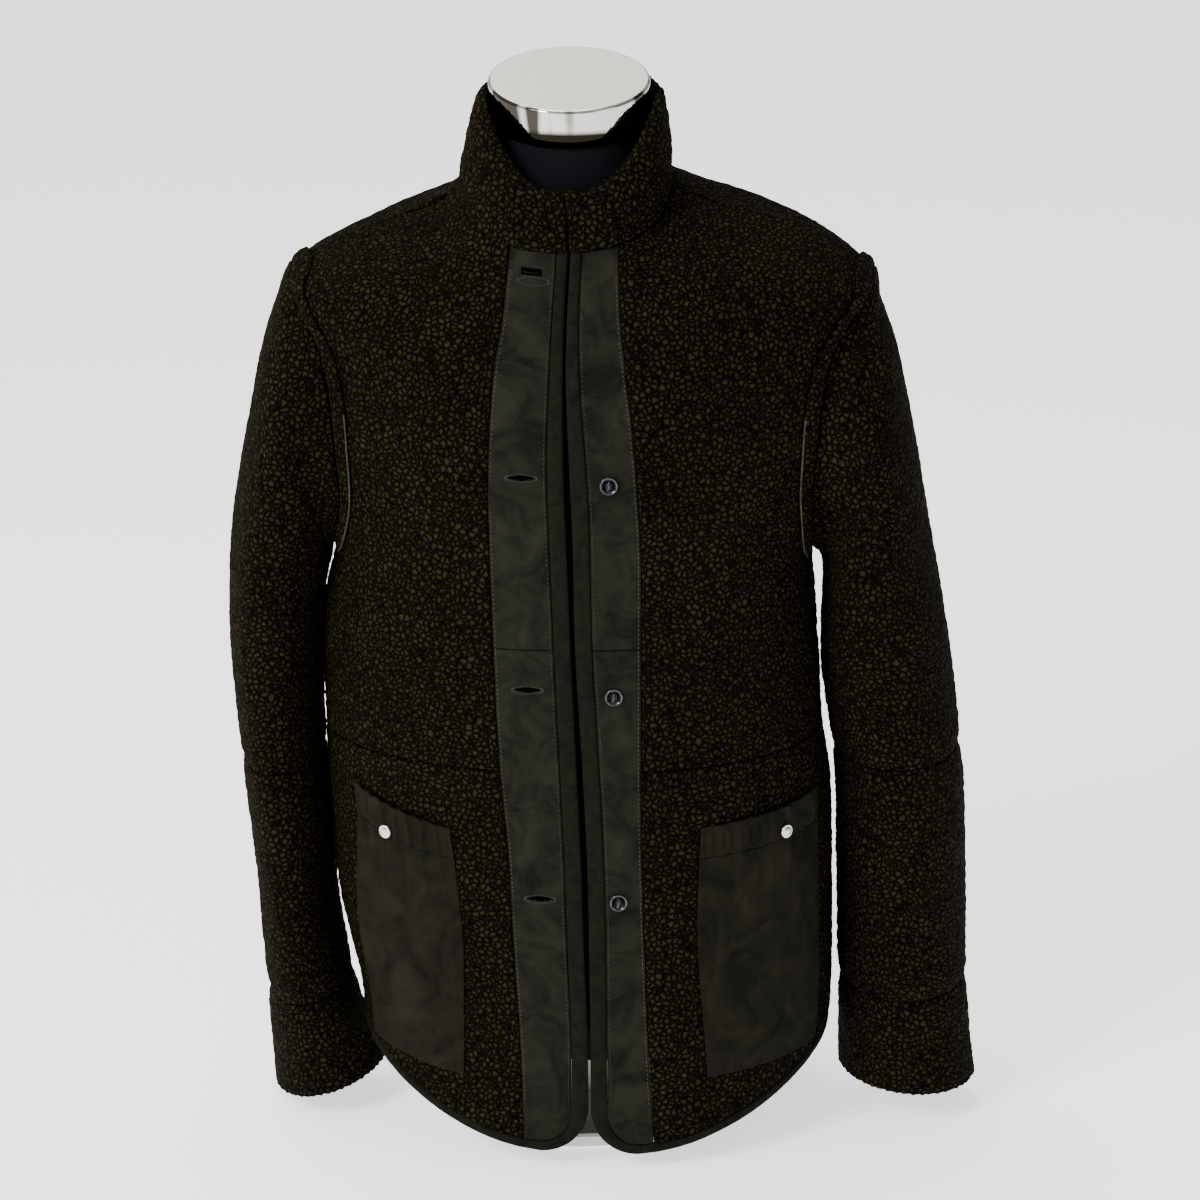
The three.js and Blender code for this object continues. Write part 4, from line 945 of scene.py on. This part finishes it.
def binding_piece(name, half, outer, inner):
    """A strip along two edges, each of rings and turns, with a rounded section all the way round."""
    angle = 2 * math.pi * np.arange(SECTION) / SECTION
    share = 0.5 - 0.5 * power(np.cos(angle), 0.6)
    lift = BINDING_LIFT - BINDING_WALL / 2 + (BINDING_WALL / 2 + 0.5) * power(np.sin(angle), 0.6)
    ring = mix(outer[0][:, None], inner[0][:, None], share[None, :])
    turn = mix(outer[1][:, None], inner[1][:, None], share[None, :])
    points = skin(half, ring, turn, lift[None, :])
    pucker = over(points, lambda p: 0.25 * noise.noise(p / 5.0) + 0.4 * noise.noise(p / 26.0))
    points = skin(half, ring, turn, lift[None, :] + pucker * (lift > -3))
    made = lay_grid(name, points, closed_columns=True)
    made.data.materials.append(binding_suede)
    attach(made, "root")
    return made


for side, word in SIDES:
    corner = HEM_LOW[side] + CORNER
    rings = np.linspace(NECK_RING - 0.5, corner, 260)
    z = front_height(rings)
    x = edge_x(side, z)
    outer_ring, outer_turn = [rings], [turn_of(FRONT, rings, x)]
    inner_ring, inner_turn = [rings], [turn_of(FRONT, rings, x + side * binding_width(z))]
    centre = edge_x(side, corner) + side * CORNER
    angle = np.linspace(0, math.pi / 2, 26)[1:]
    for rings_at, turns_at, across, down in (
        (outer_ring, outer_turn, CORNER, CORNER),
        (inner_ring, inner_turn, CORNER - BINDING_FRONT, CORNER - BINDING_HEM),
    ):
        ring = corner - down * np.sin(angle)
        rings_at.append(ring)
        turns_at.append(turn_of(FRONT, ring, centre - side * across * np.cos(angle)))
    start = front_turn(side, np.array(40.0), np.array(0.0))
    turns = np.linspace(max(side * turns_at[-1][-1], side * start), 1, 80)[1:] * side
    low = hem_height(side, ring_point(FRONT, np.full_like(turns, 60.0), turns)[..., 0])
    outer_ring.append(low)
    inner_ring.append(low + BINDING_HEM)
    outer_turn.append(turns)
    inner_turn.append(turns)
    piece = binding_piece(
        f"suede_binding_{word}", FRONT,
        (np.concatenate(outer_ring), np.concatenate(outer_turn)),
        (np.concatenate(inner_ring), np.concatenate(inner_turn)),
    )
    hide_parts(f"binding_{word}")
turns = np.linspace(-1, 1, 180)
low = mix(BACK_HEM_MIDDLE, BACK_HEM_SIDE, turns**2)
piece = binding_piece("suede_binding_back", BACK, (low, turns), (low + BINDING_HEM, turns))
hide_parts("binding_back")

# Patch pockets
# Suede bags gathered into an elastic casing along the top, sewn to the fronts on three sides.
# Folds run down from the gathers, and a metal snap cap sits on each casing.
SUEDE = 1.4
BAND, GATHERS, PUFF = 25.0, 8, 2.4
pocket_suede = suede_material("pocket_suede", "#0b0b07", "#1d1b13", 34)


def pocket_lift(across, up):
    inside = np.sin(math.pi * across)
    gather = np.cos(2 * math.pi * GATHERS * across) * np.exp(-(1 - up) / 0.16)
    crease = np.exp(-(((across - 0.52) / 0.05) ** 2)) * np.sin(math.pi * up) * 1.2
    open_share = np.minimum.reduce([np.ones_like(up), 8 * across, 8 * (1 - across), 8 * up])
    puffed = PUFF * inside * np.maximum(up, 0) ** 0.6 + crease + 0.8 * (1 + gather)
    return SEAM + open_share * puffed


def bag_surface(side):
    def surface(u, v, depth):
        low, high = mix(*POCKET[side]["bottom"], u), mix(*POCKET[side]["top"], u) - BAND - SEAM
        ring, turn = pocket_place(side, u, mix(low, high, v))
        return skin(FRONT, ring, turn, pocket_lift(u, v) + SUEDE - depth)

    return surface


def casing_surface(side):
    def surface(u, v, depth):
        high = mix(*POCKET[side]["top"], u)
        ring, turn = pocket_place(side, u, mix(high - BAND, high, v))
        bulge = 0.8 * np.sin(math.pi * v)
        return skin(FRONT, ring, turn, pocket_lift(u, np.ones_like(u)) + SUEDE + 0.4 + bulge - depth)

    return surface


def bag_relief(points, outer, full, u, v):
    """Folds that start at the gathers and fade down the bag, each at its own place and length."""
    picker = random.Random(7)
    raised = 0.5 * over(points, lambda p: noise.noise(p / 24.0))
    for k in range(2 * GATHERS):
        at = (k + 0.5 + picker.uniform(-0.3, 0.3)) / (2 * GATHERS)
        lean, width = picker.uniform(-0.1, 0.1), picker.uniform(0.012, 0.024)
        reach = picker.uniform(0.2, 0.8)
        fold = np.exp(-(((u - at - lean * (1 - v)) / width) ** 2)) * np.exp(-(1 - v) / reach)
        raised += fold * picker.uniform(-1.7, 1.4)
    wide = 1.6 * np.sin(math.pi * np.clip(u, 0, 1)) * over(points, lambda p: noise.noise(p / 38.0))
    return (raised + wide) * full[None, :], []


def casing_relief(points, outer, full, u, v):
    """Puckers between the two rows of stitching that hold the elastic."""
    wave = np.cos(2 * math.pi * GATHERS * 2 * u + 2.0 * np.sin(5 * u))
    held = np.minimum(np.abs(v - 0.1), np.abs(v - 0.9))
    return 0.8 * wave * smooth(held, 0.0, 0.25) + 0.4 * over(points, lambda p: noise.noise(p / 8.0)), []


for side, word in SIDES:
    bag = shell(
        f"suede_pocket_{word}", bag_surface(side), 110, 170, pocket_suede, bag_relief, wall=SUEDE, step=1.6,
        inner_rows=12, rounding=0.8,
    )
    casing = shell(
        f"suede_casing_{word}", casing_surface(side), 110, BAND, pocket_suede, casing_relief,
        wall=SUEDE + 0.4, step=1.2, inner_rows=4, rounding=0.9,
    )
    for piece, node, flat in ((bag, "pocket", (0.125, 0.185)), (casing, "pocket_band", (0.112, 0.026))):
        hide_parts(f"{node}_{word}")

# Armhole strips
# A strip sewn down beside each armhole seam, its face covered in pile that stands up as a soft welt.
# Toward the underarm the leather shows along both of its edges as a thin lighter line.
STRIP_FROM, STRIP_TO, STRIP_OVER, STRIP_THICK, STRIP_REACH = 9.0, 20.0, 1.3, 1.2, 152.0
WELT_HEIGHT, BARE_EDGE, BARE_FROM, CROWN_COVER = 1.8, 0.08, 84.0, 5.0
raw_edge = suede_material("raw_leather_edge", "#2b291e", "#454132", 9)


def armhole_surface(side):
    def surface(u, v, depth):
        around = (mix(-STRIP_REACH, STRIP_REACH, v) + 360) % 360
        crown = 1 - smooth(np.minimum(around, 360 - around), 14.0, 50.0)
        inset = mix(STRIP_FROM - CROWN_COVER * crown, STRIP_TO, u)
        return beside_armhole(side, around, inset, STRIP_OVER + STRIP_THICK - depth)

    return surface


def welt_relief(points, outer, full, u, v):
    tuft = over(points, tuft_height) * outer
    around = np.abs(mix(-STRIP_REACH, STRIP_REACH, v))
    swell = WELT_HEIGHT * power(np.sin(math.pi * np.clip(u, 0, 1)), 0.6) 
    bare = (np.minimum(u, 1 - u) < BARE_EDGE) & (around > BARE_FROM)
    raised = swell + 0.9 * tuft * full[None, :] - 0.3
    # The tuft attribute also darkens the low pile in the shearling material, as painted shade.
    return np.where(bare, 0.2, raised), [("tuft", mix(0.5, tuft, outer)), ("bare", bare.astype(float))]


for side, word in SIDES:
    piece = shell(
        f"fleece_armhole_{word}", armhole_surface(side), STRIP_TO - STRIP_FROM, 460, shearling,
        welt_relief, wall=STRIP_THICK, step=1.1, inner_rows=60, rounding=0.6,
    )
    piece.data.materials.append(raw_edge)
    bare = piece.data.attributes["bare"].data
    for face in piece.data.polygons:
        face.material_index = int(min(bare[vertex].value for vertex in face.vertices) > 0.5)
    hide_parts(f"armhole_strip_{word}")

# Buttons
# Turned near black buttons with a rolled rim, a shallow dish and four holes, sewn on with dark thread.
BUTTONS = ((28, 565), (32, 397), (36, 229))
BUTTON_HOLE, BUTTON_SPREAD, BUTTON_DISH = 0.85, 1.7, 1.75
BUTTON_RIM = (
    (4.9, 1.78), (5.5, 2.1), (5.95, 2.5), (6.35, 2.6), (6.75, 2.35), (7.0, 1.7), (6.9, 0.9), (6.2, 0.0)
)
BUTTON_THREAD = 0.42
horn, _, _ = new_material(
    "polished_dark_horn", Base_Color=linear("#0c0c10"), Roughness=0.16, Coat_Weight=0.4, Coat_Roughness=0.08
)
button_thread, _, _ = new_material("button_thread", Base_Color=linear("#15140f"), Roughness=0.75)


def carry_on(bm, edges, scale, rise):
    """Extrudes a ring of edges round the axis, scales it and lifts it, and gives the new ring."""
    made = bmesh.ops.extrude_edge_only(bm, edges=edges)["geom"]
    verts = [part for part in made if isinstance(part, bmesh.types.BMVert)]
    bmesh.ops.scale(bm, vec=(scale, scale, 1), verts=verts)
    bmesh.ops.translate(bm, vec=(0, 0, rise), verts=verts)
    return [e for e in made if isinstance(e, bmesh.types.BMEdge) and all(v in verts for v in e.verts)]


def finish_piece(name, bm, matrix, materials):
    """Turns a bmesh built about its own axis, in millimetres, into a piece in its place."""
    bmesh.ops.recalc_face_normals(bm, faces=bm.faces)
    bmesh.ops.transform(bm, matrix=matrix @ Matrix.Scale(MM, 4), verts=bm.verts)
    mesh = bpy.data.meshes.new(name)
    bm.to_mesh(mesh)
    bm.free()
    mesh.polygons.foreach_set("use_smooth", [True] * len(mesh.polygons))
    for material in materials:
        mesh.materials.append(material)
    made = bpy.data.objects.new(name, mesh)
    bpy.context.collection.objects.link(made)
    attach(made, "root")
    return made


def facing_out(x, z, lift):
    """The place on the front of a piece built about +Z, lifted off the cloth."""
    seat, normal = on_front(x, z, lift)
    return Matrix.Translation(seat) @ normal.to_track_quat("Z", "Y").to_matrix().to_4x4()


for i, (x, z) in enumerate(BUTTONS):
    bm = bmesh.new()
    start = BUTTON_RIM[0][0]
    dish = Matrix.Translation((0, 0, BUTTON_DISH))
    rim = bmesh.ops.create_circle(bm, segments=48, radius=start, matrix=dish)
    ring = list({edge for vert in rim["verts"] for edge in vert.link_edges})
    top, bottom, holes = list(ring), [], []
    for a in (-1, 1):
        for b in (-1, 1):
            place = Matrix.Translation((a * BUTTON_SPREAD, b * BUTTON_SPREAD, BUTTON_DISH))
            hole = bmesh.ops.create_circle(bm, segments=14, radius=BUTTON_HOLE, matrix=place)
            edges = list({edge for vert in hole["verts"] for edge in vert.link_edges})
            top += edges
            bottom += carry_on(bm, edges, 1, -BUTTON_DISH)
    bmesh.ops.triangle_fill(bm, use_beauty=True, use_dissolve=False, edges=top)
    radius, height = start, BUTTON_DISH
    for next_radius, next_height in BUTTON_RIM:
        ring = carry_on(bm, ring, next_radius / radius, next_height - height)
        radius, height = next_radius, next_height
    bmesh.ops.triangle_fill(bm, use_beauty=True, use_dissolve=False, edges=ring + bottom)
    seat = facing_out(x, z, STRIP_LIFT + SEAM)
    button = finish_piece(f"button_{i + 1}_turned", bm, seat, [horn])
    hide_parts(f"button_{i + 1}")
    bm = bmesh.new()
    for a in (-1, 1):
        across = Matrix.Translation((a * BUTTON_SPREAD, 0, BUTTON_DISH + BUTTON_THREAD))
        bmesh.ops.create_cone(
            bm, segments=10, radius1=BUTTON_THREAD, radius2=BUTTON_THREAD, cap_ends=True,
            depth=2 * BUTTON_SPREAD + BUTTON_HOLE, matrix=across @ Matrix.Rotation(math.pi / 2, 4, "X"),
        )
    finish_piece(f"thread_button_{i + 1}", bm, seat, [button_thread])

# Pocket snaps
# Nickel plated caps with a rolled edge and a shallow dome, pressed through the pockets' casings.
SNAPS = {-1: (-143.5, 274), 1: (161.5, 273)}
SNAP_PROFILE = (
    (0, 0), (5.2, 0), (5.6, 0.35), (5.6, 0.8), (5.2, 1.25), (4.7, 1.3), (4.4, 1.15), (3.2, 1.9), (1.6, 2.3),
    (0, 2.4),
)
nickel, _, _ = new_material("nickel_plate", Base_Color=linear("#c9c7c0"), Metallic=1.0, Roughness=0.24)


def lathed(profile, steps):
    """A solid of revolution about +Z from a profile of radius and height that starts and ends on the axis."""
    bm = bmesh.new()
    verts = [bmesh.ops.create_vert(bm, co=(radius, 0, height))["vert"][0] for radius, height in profile]
    edges = [bm.edges.new(pair) for pair in zip(verts, verts[1:])]
    bmesh.ops.spin(
        bm, geom=verts + edges, cent=(0, 0, 0), axis=(0, 0, 1), dvec=(0, 0, 0), angle=2 * math.pi,
        steps=steps, use_merge=True, use_duplicate=False,
    )
    bmesh.ops.remove_doubles(bm, verts=bm.verts, dist=0.001)
    return bm


for side, word in SIDES:
    x, z = SNAPS[side]
    inner, outer = pocket_sides(side, np.array(float(z)))
    across = (turn_of(FRONT, z, x) - inner) / (outer - inner)
    casing = max(float(pocket_lift(across + step, np.array(1.0))) for step in (-0.04, 0, 0.04))
    lift = casing + SUEDE + 1 + SEAM
    cap = lathed(SNAP_PROFILE, 40)
    snap = finish_piece(f"snap_{word}_cap", cap, facing_out(x, z, lift), [nickel])
    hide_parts(f"snap_{word}")

# Dress form
# A limbless form in blue black jersey. A cap of polished chrome with a pale brushed top closes its neck.
# It stands on a flat foot in pale enamel.
CAP_X, CAP_TOP, CAP_TILT = -7.0, 847.0, math.radians(13)
CAP_RADIUS, CAP_HEIGHT, CAP_EDGE = 62.0, 30.0, 2.5
FORM_BOTTOM, FORM_ROUND, FORM_FLATTEN, FORM_EASE = 48.0, 150.0, 4.0, 9.0
FORM_NECK, FORM_COLUMNS = 59.0, 120
NECK_FROM, NECK_ROWS = 762.0, 16
jersey, jersey_tree, jersey_shader = new_material("knitted_jersey", Roughness=0.95)
jersey_shader.inputs["Specular IOR Level"].default_value = 0.12
jersey_place = add_node(jersey_tree, "ShaderNodeTexCoord")
knit = add_node(
    jersey_tree, "ShaderNodeTexNoise", [("Vector", jersey_place.outputs["Object"])],
    Scale=1 / 0.0012, Detail=2.0,
)
jersey_ramp = add_node(jersey_tree, "ShaderNodeValToRGB", [("Fac", knit.outputs["Fac"])])
jersey_ramp.color_ramp.elements[0].color = linear("#030305")
jersey_ramp.color_ramp.elements[1].color = linear("#0a0a11")
jersey_tree.links.new(jersey_shader.inputs["Base Color"], jersey_ramp.outputs["Color"])
enamel, _, _ = new_material("baked_enamel", Base_Color=linear("#e9e8e4"), Roughness=0.38)
chrome, chrome_tree, chrome_shader = new_material("polished_chrome_painted_reflection", Metallic=1.0, Roughness=0.06)
# The chrome's base colour is a painted reflection: pale and dark vertical streaks stand for the room it
# mirrors.
chrome_place = add_node(chrome_tree, "ShaderNodeTexCoord")
painted_reflection_stretch = add_node(
    chrome_tree, "ShaderNodeMapping", [("Vector", chrome_place.outputs["Object"])], Scale=(1.0, 1.0, 0.02)
)
painted_reflection_streaks = add_node(
    chrome_tree, "ShaderNodeTexNoise", [("Vector", painted_reflection_stretch.outputs[0])], Scale=46.0, Detail=1.0
)
painted_reflection_ramp = add_node(chrome_tree, "ShaderNodeValToRGB", [("Fac", painted_reflection_streaks.outputs["Fac"])])
painted_reflection_ramp.color_ramp.elements[0].position = 0.42
painted_reflection_ramp.color_ramp.elements[0].color = linear("#3a3631")
painted_reflection_ramp.color_ramp.elements[1].position = 0.52
painted_reflection_ramp.color_ramp.elements[1].color = linear("#c4c1bb")
height = add_node(chrome_tree, "ShaderNodeSeparateXYZ", [("Vector", chrome_place.outputs["Object"])])
# Below a height of about 816 mm the colour turns dark, a painted reflection of the pile around the cap.
painted_pile_reflection_edge = add_node(
    chrome_tree, "ShaderNodeMapRange", [("Value", height.outputs["Z"])], From_Min=0.814, From_Max=0.818
)
painted_reflection_colour = add_node(
    chrome_tree, "ShaderNodeMix", [("Factor", painted_pile_reflection_edge.outputs[0]), (7, painted_reflection_ramp.outputs["Color"])],
    data_type="RGBA",
)
painted_reflection_colour.inputs[6].default_value = linear("#1c1a14")
chrome_tree.links.new(chrome_shader.inputs["Base Color"], painted_reflection_colour.outputs[2])
brushed, brushed_tree, brushed_shader = new_material("brushed_lacquered_top", Roughness=0.5)
brushed_place = add_node(brushed_tree, "ShaderNodeTexCoord")
grain_stretch = add_node(
    brushed_tree, "ShaderNodeMapping", [("Vector", brushed_place.outputs["Object"])], Scale=(1.0, 60.0, 1.0)
)
grain = add_node(
    brushed_tree, "ShaderNodeTexNoise", [("Vector", grain_stretch.outputs[0])], Scale=40.0, Detail=3.0
)
grain_ramp = add_node(brushed_tree, "ShaderNodeValToRGB", [("Fac", grain.outputs["Fac"])])
grain_ramp.color_ramp.elements[0].color = linear("#c6c1b6")
grain_ramp.color_ramp.elements[1].color = linear("#dedad1")
brushed_tree.links.new(brushed_shader.inputs["Base Color"], grain_ramp.outputs["Color"])

for place in bpy.data.objects["form_foot"].material_slots:
    place.material = enamel
cap_profile = [(0, 0), (CAP_RADIUS, 0), (CAP_RADIUS, 6), (CAP_RADIUS, 14), (CAP_RADIUS, 22)]
for angle in np.linspace(math.pi / 2, 0, 7):
    inward, down = CAP_EDGE * (1 - math.sin(angle)), CAP_EDGE * (1 - math.cos(angle))
    cap_profile.append((CAP_RADIUS - inward, CAP_HEIGHT - down))
bm = lathed(cap_profile + [(CAP_RADIUS - 8, CAP_HEIGHT), (0, CAP_HEIGHT)], 96)
for face in bm.faces:
    face.material_index = int(face.calc_center_median().z > CAP_HEIGHT - 0.05)
cap_axis = Vector((0, -math.sin(CAP_TILT), math.cos(CAP_TILT)))
cap_seat = Vector((CAP_X, 0, CAP_TOP)) - cap_axis * CAP_HEIGHT
cap_place = Matrix.Translation(cap_seat * MM) @ Matrix.Rotation(CAP_TILT, 4, "X")
cap = finish_piece("chrome_neck_cap", bm, cap_place, [chrome, brushed])
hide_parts("neck_cap")


def form_ring(ring, angle):
    """The form's outline at a ring height, inside the cloth by the ease, rounded in at its lower end."""
    turn, front = np.arcsin(np.sin(angle)) / (math.pi / 2), (np.cos(angle) > 0)[..., None]
    lift = -FLEECE - FORM_EASE
    points = np.where(front, skin(FRONT, ring, turn, lift, True), skin(BACK, ring, turn, lift, True))
    middle = along(BODY, "ring", "shift", ring)
    below = np.clip((FORM_ROUND - ring) / (FORM_ROUND - FORM_BOTTOM + FORM_FLATTEN), 0, 1)
    points[..., 0] = middle + (points[..., 0] - middle) * np.sqrt(1 - below**2)
    points[..., 1] *= np.sqrt(1 - below**2)
    return points


angles = 2 * math.pi * (np.arange(FORM_COLUMNS) + 0.5) / FORM_COLUMNS
rings = np.concatenate([FORM_BOTTOM + 102 * np.linspace(0, 1, 14) ** 2, np.linspace(158, NECK_FROM, 90)])
torso = form_ring(*np.meshgrid(rings, angles, indexing="ij"))
rim_centre = cap_seat - cap_axis * SEAM
across, upward = np.sin(angles), -np.cos(angles)
rim = np.stack(
    [rim_centre.x + FORM_NECK * across, rim_centre.y + FORM_NECK * upward * cap_axis.z,
     rim_centre.z - FORM_NECK * upward * cap_axis.y], -1
)
shares = np.linspace(0, 1, NECK_ROWS + 1)[1:, None]
neck = mix(torso[-1][None], rim[None], (shares**0.6)[..., None])
neck[..., 2] = mix(torso[-1][None, :, 2], rim[None, :, 2], shares)
form = lay_grid("jersey_form", np.concatenate([torso, neck]), closed_columns=True)
form.data.materials.append(jersey)
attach(form, "root")
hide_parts("form_torso")

cad_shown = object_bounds()
size = {"cad": cad_box, "visual": [list(corner) for corner in cad_shown]}
